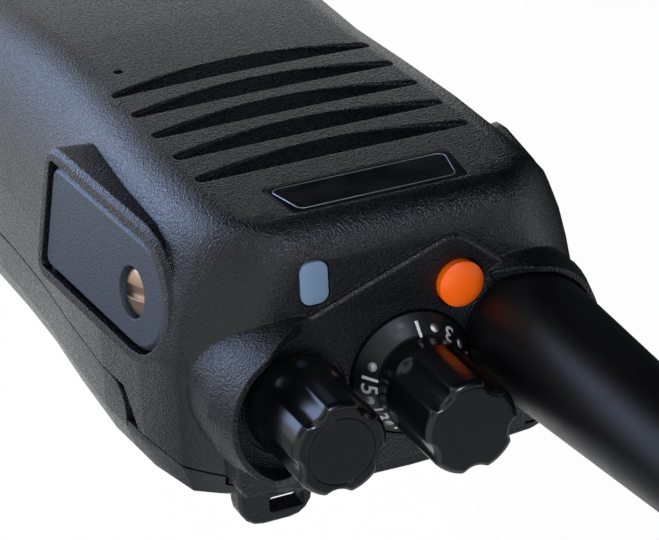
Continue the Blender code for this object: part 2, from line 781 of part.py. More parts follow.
LEAN_MIDDLE = Vector((BEZEL_X, (BEZEL_REAR - BEZEL_FRONT) / 2, (BEZEL_LOW + BEZEL_TOP) / 2))
LEAN_TURN = (Matrix.Rotation(-BEZEL_LEAN, 4, "Y") @ Matrix.Rotation(-BEZEL_TURN, 4, "Z")
             @ Matrix.Rotation(-BEZEL_TIP, 4, "X"))


def lean(obj):
    """Tips a piece of the accessory cover with its bezel."""
    return place(obj, Matrix.Translation(LEAN_MIDDLE) @ LEAN_TURN @ Matrix.Translation(-LEAN_MIDDLE))


def lean_point(point):
    return LEAN_MIDDLE + LEAN_TURN.to_3x3() @ (Vector(point) - LEAN_MIDDLE)


def tip_to_face(obj, z):
    """Tips a piece that lies on the front face at height z parallel to it."""
    spot = Vector((0, front_y(z), z))
    turn = Matrix.Rotation(-FACE_TILT, 4, "X")
    return place(obj, Matrix.Translation(spot) @ turn @ Matrix.Translation(-spot))


COVER_OUT = BEZEL_X - COVER_SINK
COVER_FLOOR = COVER_OUT - COVER_T - GAP
COVER_RADII = (COVER_FOOT_R, COVER_FOOT_R, COVER_R, COVER_R)
PIVOT_X = COVER_OUT - COVER_T / 2
PIVOT_Z = COVER_LOW + COVER_T / 2
DECK_UNDER = DECK_FOOT - DECK_SKIN
CONTROL_TOP = DECK_UNDER - GAP
CONTROL_LOW = CONTROL_TOP - CONTROL_H
FRAME_IN = FRAME_OUT - FRAME_T
KEY_FRONT = FRAME_FRONT - FRAME_RIM
KEY_REAR = FRAME_REAR - FRAME_RIM
KEY_L = (FRAME_TOP - FRAME_LOW - 2 * FRAME_RIM - PTT_L - 2 * KEY_GAP) / 2
KEY_UPPER_TOP = FRAME_TOP - FRAME_RIM - PTT_L - KEY_GAP
KEY_LOWER_TOP = KEY_UPPER_TOP - KEY_L - KEY_GAP
FRAME_PLATE_FRONT = PART_D - FRAME_PLATE_T
BOARD_BACK = BOARD_Y + BOARD_T
CLIP_PIVOT_Y = BACK_D + CLIP_PIN_OUT
PLATE_MIDDLE = PLATE_TOP - PLATE_H / 2
CONTROLS = (
    # name, knob axis, floor under its nut
    ("volume", VOLUME_X, DECK_H - WELL_D),
    ("channel", CHANNEL_X, DECK_H - DIAL_RECESS_D),
)


def case_screw_places():
    return [(x, z) for x in (-CASE_SCREW_X, CASE_SCREW_X) for z in (CASE_SCREW_LOW, CASE_SCREW_TOP)]


def board_screw_places():
    height = BOARD_TOP - BOARD_LOW
    return [(x, BOARD_LOW + share * height) for x in (-STANDOFF_X, STANDOFF_X) for share in STANDOFF_SHARES]


def make_front_housing():
    """Moulded front shell with its deck, guards, bezel, pad and grille."""
    shell = body_solid("shell")
    bezel_radii = (BEZEL_FOOT_R, BEZEL_FOOT_R, BEZEL_R, BEZEL_R)
    bezel = lean(side_slab("bezel", BEZEL_FRONT, BEZEL_REAR, BEZEL_LOW, BEZEL_TOP,
                           HALF_W - 4 * WALL, BEZEL_X, bezel_radii))
    pad = lean(side_slab("pad", BEZEL_FRONT, BEZEL_REAR, BEZEL_TOP - PAD_H, BEZEL_TOP,
                         HALF_W - 4 * WALL, BEZEL_X - PAD_SINK, PAD_R))
    place(pad, Matrix.Scale(-1, 4, (1, 0, 0)))
    pad.data.flip_normals()
    volume_guard = guard("volume_guard", VOLUME_X, KNOB_Y, GUARD_BORE_R, GUARD_WALL, GUARD_TOP_H, 0)
    collar = guard("collar", ANTENNA_X, ANTENNA_Y, MOUTH_R, COLLAR_WALL, COLLAR_TOP_H, math.radians(-155))
    shell = bake(join(shell, bezel, pad, platform("platform"), volume_guard, collar))
    void = body_solid("void", WALL, WALL, DECK_SKIN)
    shell = bake(cut(shell, void))

    backing = lean(side_slab("backing", COVER_FRONT + WALL / 2, COVER_REAR + WALL / 2, COVER_LOW - WALL / 2,
                             COVER_TOP + WALL / 2, COVER_FLOOR - BACKING_T, COVER_FLOOR + OVERRUN, 0))
    added = [backing]
    for x, z in case_screw_places():
        added.append(rod("boss", BOSS_R, front_y(z) + (WALL + CROWN) / 2, FRAME_PLATE_FRONT - GAP,
                         (x, 0, z), "Y", sides=12))
    mic_face = front_y(MIC_Z) + CROWN / 2 + MIC_FLOOR
    mic_boss = rod("mic_boss", MIC_R + SNUG + MIC_BOSS_WALL, front_y(MIC_Z) + CROWN + WALL / 2,
                   mic_face + MIC_L + GAP, (MIC_X, 0, MIC_Z), "Y", sides=16)
    added.append(mic_boss)
    shell = bake(join(shell, *added))

    cutters = [behind_parting("behind")]
    cutters.append(rod("mic_pocket", MIC_R + SNUG, mic_face, mic_face + MIC_L + 3 * WALL,
                       (MIC_X, 0, MIC_Z), "Y", sides=16))
    cutters.append(rod("mic_hole", MIC_HOLE_R, front_y(MIC_Z) - OVERRUN, mic_face + OVERRUN,
                       (MIC_X, 0, MIC_Z), "Y", sides=10))
    for x, z in case_screw_places():
        cutters.append(rod("boss_bore", CASE_SCREW_R + SNUG, FRAME_PLATE_FRONT - CASE_SCREW_L,
                           FRAME_PLATE_FRONT, (x, 0, z), "Y", sides=10))
    cutters += grille_cutters()
    middle = front_y(PLATE_MIDDLE)
    recess = flat("plate_recess", plate_outline(0), middle - OVERRUN, middle + PLATE_D, "Y")
    cutters.append(tip_to_face(recess, PLATE_MIDDLE))
    cutters.append(flat("led_hole", led_outline(SNUG), DECK_UNDER - OVERRUN, DECK_H, "Z"))
    cutters.append(rod("guard_bore", GUARD_BORE_R, DECK_H, TOP_Z, (VOLUME_X, KNOB_Y, 0), sides=44))
    cutters.append(rod("collar_bore", MOUTH_R, DECK_H, TOP_Z, (ANTENNA_X, ANTENNA_Y, 0), sides=44))
    cutters.append(rod("well", WELL_R, DECK_H - WELL_D, TOP_Z, (VOLUME_X, KNOB_Y, 0), sides=40))
    cutters.append(rod("dial_recess", DIAL_RECESS_R, DECK_H - DIAL_RECESS_D, TOP_Z, (CHANNEL_X, KNOB_Y, 0),
                       sides=40))
    for name, x, _ in CONTROLS:
        half = CONTROL_W / 2 + GAP
        cutters.append(block(name + "_pocket", (x - half, KNOB_Y - half, CONTROL_LOW),
                             (x + half, KNOB_Y + half, DECK_UNDER)))
        cutters.append(rod(name + "_bore", BUSHING_R + SNUG, DECK_UNDER - OVERRUN, TOP_Z, (x, KNOB_Y, 0),
                           sides=16))
    cutters.append(rod("socket_bore", SOCKET_R + SNUG, DECK_H - SOCKET_L - GAP, TOP_Z,
                       (ANTENNA_X, ANTENNA_Y, 0), sides=20))
    cutters.append(rod("button_bore", BUTTON_R + SNUG, DECK_UNDER - OVERRUN, TOP_Z, (BUTTON_X, BUTTON_Y, 0)))
    dish_grow = 2 * BUTTON_DISH_R - BUTTON_R
    cutters.append(rod("button_dish", BUTTON_R, DECK_H - BUTTON_DISH_D, DECK_H + BUTTON_DISH_D,
                       (BUTTON_X, BUTTON_Y, 0), top_radius=dish_grow, sides=24))
    flange_low = DECK_UNDER - 2 * GAP - BUTTON_FLANGE_T - BUTTON_TRAVEL
    cutters.append(rod("button_pocket", BUTTON_FLANGE_R + GAP, flange_low, DECK_UNDER,
                       (BUTTON_X, BUTTON_Y, 0), sides=16))
    window = rounded([(-FRAME_FRONT - SNUG, FRAME_LOW - SNUG), (FRAME_REAR + SNUG, FRAME_LOW - SNUG),
                      (FRAME_REAR + SNUG, FRAME_TOP + SNUG), (-FRAME_FRONT - SNUG, FRAME_TOP + SNUG)],
                     FRAME_R)
    cutters.append(flat("frame_window", window, -HALF_W - 2 * WALL, -FRAME_IN + WALL + PTT_TRAVEL, "X"))
    recess = rounded([(-COVER_FRONT - COVER_GROOVE, COVER_LOW - COVER_GROOVE),
                      (COVER_REAR + COVER_GROOVE, COVER_LOW - COVER_GROOVE),
                      (COVER_REAR + COVER_GROOVE, COVER_TOP + COVER_GROOVE),
                      (-COVER_FRONT - COVER_GROOVE, COVER_TOP + COVER_GROOVE)],
                     (RECESS_FOOT_R, RECESS_FOOT_R, COVER_R, COVER_R), 6)
    cutters.append(lean(flat("cover_recess", recess, COVER_FLOOR, BEZEL_X + 2 * WALL, "X")))
    cutters.append(lean(rod("pivot_bore", PIVOT_R + SNUG, -COVER_FRONT - PIVOT_OUT - SNUG,
                            COVER_REAR + PIVOT_OUT + SNUG, (PIVOT_X, 0, PIVOT_Z), "Y", sides=8)))
    for z in JACK_Z:
        cutters.append(lean(rod("jack_bore", JACK_R + SNUG, COVER_FLOOR - 2 * BACKING_T,
                                COVER_FLOOR + OVERRUN, (0, COIN_Y, z), "X", sides=16)))
    cutters.append(lean(rod("insert_bore", INSERT_R + SNUG, COVER_FLOOR - 2 * BACKING_T,
                            COVER_FLOOR + OVERRUN, (0, COIN_Y, COIN_Z), "X", sides=16)))
    half = LATCH_W / 2 + GAP
    cutters.append(block("latch_notch", (-half, PART_D - LATCH_HOOK - GAP, -OVERRUN),
                         (half, PART_D + OVERRUN, WALL + OVERRUN)))
    shell = bake(cut(shell, *cutters))
    return finish(shell, "front_housing", BLACK, 0.55)


def plate_outline(gap):
    """The nameplate's outline, drawn in by a gap."""
    top = PLATE_TOP - gap
    low = PLATE_TOP - PLATE_H + gap
    half = PLATE_W / 2 - gap
    return rounded([(-half, low), (half, low), (half - PLATE_SLANT, top), (-half + PLATE_SLANT, top)],
                   PLATE_SLANT, 3)


def led_outline(gap):
    half_w = LED_W / 2 + gap
    half_l = LED_L / 2 + gap
    corners = [(LED_X - half_w, LED_Y - half_l), (LED_X + half_w, LED_Y - half_l),
               (LED_X + half_w, LED_Y + half_l), (LED_X - half_w, LED_Y + half_l)]
    return rounded(corners, LED_CORNER_R + gap, 4)


def make_nameplate():
    floor = front_y(PLATE_MIDDLE) + PLATE_D - GAP
    plate = flat("nameplate", plate_outline(SNUG), floor - PLATE_T, floor, "Y")
    return finish(tip_to_face(plate, PLATE_MIDDLE), "nameplate", GLOSS_BLACK, 0.3)


def make_led_window():
    window = flat("led_window", led_outline(0), DECK_UNDER - OVERRUN, DECK_FOOT, "Z")
    window = bake(window)
    round_edges(window, SNUG)
    return finish(window, "led_window", WINDOW, 0.35)


def make_chassis():
    """Die-cast rear frame: a plate behind the boards and a hollow head above the pack."""
    body = body_solid("frame_body")
    low = PACK_H + GAP
    outline = [(FAR_Y, low), (PART_EDGE_D + GAP, low), (PART_EDGE_D + GAP, TOP_Z), (FAR_Y, TOP_Z)]
    region = flat("head_region", outline, -HALF_W - OVERRUN, HALF_W + OVERRUN, "X")
    deck = block("head_deck", (-PART_EDGE_X - GAP, 0, SHOULDER_Z - GAP),
                 (PART_EDGE_X + GAP, PART_TOP_D + GAP, TOP_Z))
    head = bake(cut(common(body, region), deck))
    void = body_solid("head_void", WALL, WALL, DECK_SKIN)
    keep = block("head_inside", (-HALF_W, 0, low + FRAME_PLATE_T), (HALF_W, BACK_D, DECK_H))
    head = bake(cut(head, bake(common(void, keep))))

    plate = block("frame_plate", (-FRAME_PLATE_HALF_W, FRAME_PLATE_FRONT, WALL + GAP),
                  (FRAME_PLATE_HALF_W, PART_D, low + FRAME_PLATE_T))
    shelf = block("shelf", (-FRAME_PLATE_HALF_W, FRAME_PLATE_FRONT, low),
                  (FRAME_PLATE_HALF_W, BACK_D - WALL, low + FRAME_PLATE_T))
    lug_root = PART_TOP_D + 2 * GAP
    lug_outline = rounded([(LUG_X - LUG_W / 2, lug_root), (LUG_X + LUG_W / 2, lug_root),
                           (LUG_X + LUG_W / 2, BACK_D + LUG_OUT), (LUG_X - LUG_W / 2, BACK_D + LUG_OUT)],
                          (0, 0, LUG_R, LUG_R))
    lug = flat("lug", lug_outline, LUG_TOP - LUG_H, LUG_TOP, "Z", PLATFORM_EDGE)
    added = [shelf, plate, lug]
    for x, z in board_screw_places():
        added.append(rod("standoff", STANDOFF_R, BOARD_BACK + GAP, FRAME_PLATE_FRONT + OVERRUN,
                         (x, 0, z), "Y", sides=12))
    frame = bake(join(head, *added))

    slot_far = BACK_D + LUG_OUT - LUG_SLOT_RIM
    slot_near = slot_far - LUG_SLOT_L
    slot_low = LUG_SLOT_X - LUG_SLOT_W / 2
    slot_high = LUG_SLOT_X + LUG_SLOT_W / 2
    slot = rounded([(slot_low, slot_near), (slot_high, slot_near), (slot_high, slot_far), (slot_low, slot_far)],
                   LUG_SLOT_L / 4, 3)
    cutters = [flat("lug_slot", slot, LUG_TOP - LUG_H - OVERRUN, LUG_TOP + OVERRUN, "Z")]
    for x, z in case_screw_places():
        cutters.append(rod("screw_hole", CASE_SCREW_R + SNUG, FRAME_PLATE_FRONT - OVERRUN, PART_D + OVERRUN,
                           (x, 0, z), "Y", sides=10))
        cutters.append(rod("screw_seat", CASE_SCREW_HEAD_R + SNUG, PART_D - CASE_SCREW_HEAD_T - 2 * GAP,
                           PART_D + OVERRUN, (x, 0, z), "Y", sides=16))
    for x, z in board_screw_places():
        cutters.append(rod("standoff_bore", BOARD_SCREW_R + SNUG, BOARD_BACK, BOARD_Y + BOARD_SCREW_L + GAP,
                           (x, 0, z), "Y", sides=8))
    frame = bake(cut(frame, *cutters))
    return finish(frame, "chassis", BLACK, 0.5)


def make_knob(name, x, base_h, top_h, skirt_r, phase):
    """Knob with concave flutes that run out above its rounded skirt."""
    base = DECK_H + base_h
    top = DECK_H + top_h
    skirt_top = base + KNOB_SKIRT_H
    edge = KNOB_EDGE_R
    arc = [(KNOB_R - edge + edge * math.sin(math.radians(45 * i)),
            top - edge + edge * math.cos(math.radians(45 * i)))
           for i in range(3)]
    groove = []
    if name == "volume_knob":
        groove = [(CAP_GROOVE_R - CAP_GROOVE_W, top), (CAP_GROOVE_R - CAP_GROOVE_W / 2,
                                                       top - CAP_GROOVE_W / 2),
                  (CAP_GROOVE_R, top)]
    profile = [(0, top)] + groove + arc + [(KNOB_R, skirt_top + edge), (skirt_r, skirt_top - edge),
                                           (skirt_r, base + edge / 2), (skirt_r - edge / 2, base), (0, base)]
    at = (x, KNOB_Y, 0)
    knob = turned(name, profile, at, 30)
    chord = FLUTE_HALF_ANGLE
    depth_r = KNOB_R - FLUTE_D
    flute_r = (KNOB_R ** 2 + depth_r ** 2 - 2 * KNOB_R * depth_r * math.cos(chord)) / (2 * (KNOB_R * math.cos(chord) - depth_r))
    flute_x = depth_r + flute_r
    cutters = []
    for index in range(FLUTES):
        angle = math.radians(phase) + index * math.tau / FLUTES
        centre = (x + flute_x * math.cos(angle), KNOB_Y + flute_x * math.sin(angle), 0)
        foot = skirt_top + flute_r * 2 / 3
        ball = [(flute_r * math.cos(math.radians(-15 * i)), foot + flute_r * math.sin(math.radians(-15 * i)))
                for i in range(4)] + [(0, foot - flute_r)]
        cutters.append(turned("flute", [(0, top + OVERRUN), (flute_r, top + OVERRUN)] + ball, centre, 20))
    return bake(cut(knob, *cutters))


def shaft_solid(name, x, low, high, gap=0):
    """A shaft with a flat on its upper end, or the bore that fits it."""
    shaft = rod(name, SHAFT_R + gap, low, high, (x, KNOB_Y, 0), sides=16)
    flat_x = x + SHAFT_R - SHAFT_FLAT + gap
    side = block(name + "_flat", (flat_x, KNOB_Y - SHAFT_R * 2, high - 2 * SHAFT_END), (x + SHAFT_R * 2,
                                                                                        KNOB_Y + SHAFT_R * 2, high + OVERRUN))
    return bake(cut(shaft, side))


def make_controls():
    """Each control is a body with its bushing, a nut, a shaft and a knob."""
    tops = {"volume": DECK_H + VOLUME_TOP_H, "channel": DECK_H + CHANNEL_TOP_H}
    bodies = {"volume": "volume_control", "channel": "channel_switch"}
    phases = {"volume": 13, "channel": 21}
    bases = {"volume": VOLUME_BASE_H, "channel": DIAL_TOP_H + KNOB_CLEAR}
    skirts = {"volume": KNOB_SKIRT_R, "channel": CHANNEL_SKIRT_R}
    for name, x, floor in CONTROLS:
        half = CONTROL_W / 2
        nut_top = floor + GAP + NUT_H
        bushing_top = nut_top + GAP
        shaft_low = CONTROL_TOP - CONTROL_H / 2
        shaft_top = tops[name] - SHAFT_END
        body = block(bodies[name], (x - half, KNOB_Y - half, CONTROL_LOW), (x + half, KNOB_Y + half,
                                                                            CONTROL_TOP), SNUG * 2)
        bushing = rod("bushing", BUSHING_R, CONTROL_TOP - OVERRUN, bushing_top, (x, KNOB_Y, 0), sides=16)
        bore = rod("bushing_bore", SHAFT_R + GAP, shaft_low - GAP, TOP_Z, (x, KNOB_Y, 0), sides=16)
        body = bake(cut(join(body, bushing), bore))
        finish(body, bodies[name], STEEL, 0.4, 0.9)
        nut = rod("nut", NUT_R, floor + GAP, nut_top, (x, KNOB_Y, 0), sides=6)
        nut = bake(cut(nut, rod("nut_bore", BUSHING_R + SNUG, DECK_FOOT - WALL, TOP_Z, (x, KNOB_Y, 0),
                                sides=16)))
        finish(nut, name + "_nut", NICKEL, 0.3, 1.0)
        shaft = shaft_solid(name + "_shaft", x, shaft_low, shaft_top)
        finish(shaft, name + "_shaft", STEEL, 0.3, 1.0, (x, KNOB_Y, DECK_H))
        knob_name = name + "_knob"
        knob = make_knob(knob_name, x, bases[name], tops[name] - DECK_H, skirts[name], phases[name])
        bore = shaft_solid("knob_bore", x, DECK_UNDER, shaft_top + GAP, GAP)
        if name == "volume":
            hollow = rod("knob_hollow", NUT_R + GAP, DECK_UNDER, bushing_top + GAP, (x, KNOB_Y, 0))
            knob = bake(cut(knob, hollow, bore))
        else:
            spigot = rod("knob_spigot", NUT_R, bushing_top + GAP,
                         DECK_H + DIAL_TOP_H + KNOB_CLEAR + OVERRUN, (x, KNOB_Y, 0))
            knob = bake(cut(join(knob, spigot), bore))
        finish(knob, knob_name, GLOSS_BLACK, 0.35, 0, (x, KNOB_Y, DECK_H), 30)


def make_dial_ring():
    floor = DECK_H - DIAL_RECESS_D + GAP
    bore = NUT_R + GAP
    top = DECK_H + DIAL_TOP_H
    ring = turned("dial_ring", [(bore, top), (DIAL_TOP_R, top), (DIAL_R, DECK_H + SNUG), (DIAL_R, floor),
                                (bore, floor)],
                  (CHANNEL_X, KNOB_Y, 0), 36)
    foot = rod("antenna_clear", ANTENNA_R + GAP, DECK_H + GAP / 2, TOP_Z, (ANTENNA_X, ANTENNA_Y, 0), sides=44)
    return finish(bake(cut(ring, foot)), "dial_ring", GLOSS_BLACK, 0.4)


def make_top_button():
    """Domed push button with a flange under the deck, and the switch below it."""
    flange_top = DECK_UNDER - GAP
    flange_low = flange_top - BUTTON_FLANGE_T
    rim = DECK_H + BUTTON_RISE
    edge = BUTTON_DOME
    profile = [(0, rim + BUTTON_DOME), (BUTTON_R / 2, rim + BUTTON_DOME * 3 / 4), (BUTTON_R - edge,
                                                                                   rim + edge / 3),
               (BUTTON_R, rim - edge / 2), (BUTTON_R, flange_top), (BUTTON_FLANGE_R, flange_top),
               (BUTTON_FLANGE_R, flange_low), (0, flange_low)]
    button = turned("top_button", profile, (BUTTON_X, BUTTON_Y, 0), 28)
    finish(button, "top_button", ORANGE, 0.45, 0, (BUTTON_X, BUTTON_Y, DECK_H))
    half = TOP_SWITCH_W / 2
    switch_top = flange_low - BUTTON_TRAVEL - GAP
    body = block("top_switch", (BUTTON_X - half, BUTTON_Y - half, CONTROL_LOW),
                 (BUTTON_X + half, BUTTON_Y + half, switch_top - GAP))
    dome = rod("switch_dome", BUTTON_R / 2, switch_top - OVERRUN, switch_top, (BUTTON_X, BUTTON_Y, 0),
               sides=20)
    finish(bake(join(body, dome)), "top_switch", GLOSS_BLACK, 0.4)


def make_control_board():
    """Small board that joins the two controls and the top switch from below."""
    top = CONTROL_LOW - GAP
    left = ANTENNA_X + SOCKET_R + GAP
    front = BUTTON_Y - TOP_SWITCH_W / 2 - GAP
    right = VOLUME_X + CONTROL_W / 2
    board = block("control_board", (left, front, top - CONTROL_BOARD_T), (right, CONTROL_BOARD_REAR, top))
    finish(board, "control_board", BOARD_GREEN, 0.4)


def make_antenna():
    at = (ANTENNA_X, ANTENNA_Y, 0)
    foot = DECK_H + GAP
    top = foot + ANTENNA_L
    edge = ANTENNA_TIP_R / 2
    tip = [(ANTENNA_TIP_R - edge + edge * math.sin(math.radians(30 * i)),
            top - edge + edge * math.cos(math.radians(30 * i))) for i in range(4)]
    seat = (SEAL_MEAN_R - SEAL_R - SNUG, SEAL_MEAN_R + SEAL_R + SNUG)
    groove = foot + 2 * SEAL_R + GAP
    bore = STUD_R + SNUG
    bore_top = foot + STUD_HEAD_L + GAP
    profile = [(0, top)] + tip + [(ANTENNA_WAIST_R, foot + ANTENNA_WAIST_L), (ANTENNA_R, foot + SOCKET_L / 4),
               (ANTENNA_R, foot), (seat[1], foot), (seat[1], groove), (seat[0], groove), (seat[0], foot),
               (bore, foot), (bore, bore_top), (0, bore_top)]
    finish(turned("antenna", profile, at, 28), "antenna", RUBBER, 0.5)
    stud = rod("antenna_stud", STUD_R, foot - STUD_L, foot + STUD_HEAD_L, at, sides=24)
    finish(stud, "antenna_stud", BRASS, 0.3, 1.0)
    low = DECK_H - SOCKET_L
    profile = [(STUD_R + GAP, DECK_H), (SOCKET_R, DECK_H), (SOCKET_R, low), (STUD_R + GAP, low)]
    finish(turned("antenna_socket", profile, at, 24), "antenna_socket", BRASS, 0.3, 1.0)
    ring = [(SEAL_MEAN_R + SEAL_R * math.cos(math.radians(angle)),
             foot + SEAL_R + SEAL_R * math.sin(math.radians(angle)))
            for angle in range(90, -270, -60)]
    finish(turned("antenna_seal", ring, at, 20), "antenna_seal", RUBBER, 0.7)


def make_speaker():
    """Basket with magnet, paper cone and dust felt behind the grille."""
    face = front_y(SPEAKER_Z) + WALL + CROWN + FELT_T + 2 * GAP
    to_front = (Matrix.Translation(Vector((0, face, SPEAKER_Z)))
                @ Matrix.Rotation(math.pi / 2 - FACE_TILT, 4, "X"))
    inner_r = SPEAKER_R - SPEAKER_RING
    back = -(SPEAKER_D - MAGNET_D)
    floor = back + SPEAKER_RING_T
    profile = [(0, floor), (MAGNET_R, floor), (inner_r, -CONE_D / 2), (inner_r, 0), (SPEAKER_R, 0),
               (SPEAKER_R, -SPEAKER_RING_T), (SPEAKER_FLARE_R, -CONE_D), (MAGNET_R + SPEAKER_RING, back),
               (MAGNET_R, back), (MAGNET_R, -SPEAKER_D), (0, -SPEAKER_D)]
    basket = place(turned("speaker_basket", profile, (0, 0, 0), 24), to_front)
    finish(basket, "speaker_basket", STEEL, 0.4, 0.9)
    edge_r = inner_r - GAP
    surround_r = edge_r - SPEAKER_RING
    profile = [(0, -CONE_D / 3), (DUST_CAP_R, -CONE_D / 2), (surround_r, -CONE_T), (edge_r, -CONE_T),
               (edge_r, -2 * CONE_T), (surround_r, -2 * CONE_T), (DUST_CAP_R, -CONE_D / 2 - CONE_T),
               (0, -CONE_D / 3 - CONE_T)]
    cone = place(turned("speaker_cone", profile, (0, 0, 0), 20), to_front)
    finish(cone, "speaker_cone", BLACK, 0.8)
    felt = place(rod("speaker_felt", FELT_R, GAP, GAP + FELT_T, (0, 0, 0), sides=28), to_front)
    finish(felt, "speaker_felt", BLACK, 0.95)
    mic_face = front_y(MIC_Z) + CROWN / 2 + MIC_FLOOR
    capsule = rod("microphone", MIC_R, mic_face + GAP, mic_face + GAP + MIC_L, (MIC_X, 0, MIC_Z), "Y",
                  sides=16)
    finish(capsule, "microphone", NICKEL, 0.4, 0.8)


def make_boards():
    """Main board with two shield cans, its screws, and the side switch board."""
    board = block("main_board", (-BOARD_HALF_W, BOARD_Y, BOARD_LOW), (BOARD_HALF_W, BOARD_BACK, BOARD_TOP))
    finish(board, "main_board", BOARD_GREEN, 0.4)
    height = BOARD_TOP - BOARD_LOW
    for name, (low, high) in zip(("lower", "upper"), SHIELD_ROW_SHARES):
        can = block("can", (-SHIELD_W / 2, BOARD_Y - GAP - SHIELD_H, BOARD_LOW + low * height),
                    (SHIELD_W / 2, BOARD_Y - GAP, BOARD_LOW + high * height), SNUG * 2)
        finish(can, "shield_can_" + name, NICKEL, 0.35, 0.9)


def make_side_keys():
    """Frame on the left side with the push-to-talk bar, two keys and their switches."""
    outline = rounded([(-FRAME_FRONT, FRAME_LOW), (FRAME_REAR, FRAME_LOW), (FRAME_REAR, FRAME_TOP),
                       (-FRAME_FRONT, FRAME_TOP)], FRAME_R)
    frame = flat("key_frame", outline, -FRAME_OUT, -FRAME_IN, "X", PLATFORM_EDGE * 2)
    keys = (
        ("ptt_button", FRAME_TOP - FRAME_RIM, PTT_L, PTT_RISE, PTT_TRAVEL),
        ("side_key_upper", KEY_UPPER_TOP, KEY_L, KEY_RISE, KEY_TRAVEL),
        ("side_key_lower", KEY_LOWER_TOP, KEY_L, KEY_RISE, KEY_TRAVEL),
    )
    windows = []
    lip_out = FRAME_IN - GAP
    lip_in = lip_out - KEY_LIP_T
    board_out = lip_in - PTT_TRAVEL - GAP - SWITCH_T - GAP
    for name, top, length, rise, travel in keys:
        low = top - length
        windows.append(flat("key_window",
                            rounded([(-KEY_FRONT, low), (KEY_REAR, low), (KEY_REAR, top), (-KEY_FRONT,
                                                                                           top)], KEY_R),
                            -FRAME_OUT - OVERRUN, -FRAME_IN + OVERRUN, "X"))
        cap = flat(name,
                   rounded([(-KEY_FRONT + GAP, low + GAP), (KEY_REAR - GAP, low + GAP), (KEY_REAR - GAP,
                                                                                         top - GAP),
                                  (-KEY_FRONT + GAP,
                                   top - GAP)], KEY_R - GAP), -FRAME_OUT - rise, -lip_in, "X", KEY_EDGE)
        lip = flat("lip", rounded([(-KEY_FRONT - KEY_LIP, low - KEY_LIP), (KEY_REAR + KEY_LIP, low - KEY_LIP),
                                   (KEY_REAR + KEY_LIP, top + KEY_LIP), (-KEY_FRONT - KEY_LIP,
                                                                         top + KEY_LIP)], KEY_R),
                   -lip_out, -lip_in, "X")
        middle = (low + top) / 2
        finish(bake(join(cap, lip)), name, RUBBER, 0.6, 0, (-FRAME_OUT, (KEY_REAR - KEY_FRONT) / 2, middle))
        half = SWITCH_W / 2
        y = (KEY_REAR - SIDE_BOARD_FRONT) / 2
        switch = block("switch", (-lip_in + travel + GAP, y - half, middle - half),
                       (-board_out - GAP, y + half, middle + half), SNUG * 2)
        finish(switch, name + "_switch", NICKEL, 0.4, 0.6)
    finish(bake(cut(frame, *windows)), "key_frame", RUBBER, 0.7)
    board = block("side_switch_board", (-board_out, -SIDE_BOARD_FRONT, FRAME_LOW),
                  (-board_out + SIDE_BOARD_T, BOARD_Y - GAP, SIDE_BOARD_TOP))
    finish(board, "side_switch_board", BOARD_GREEN, 0.4)


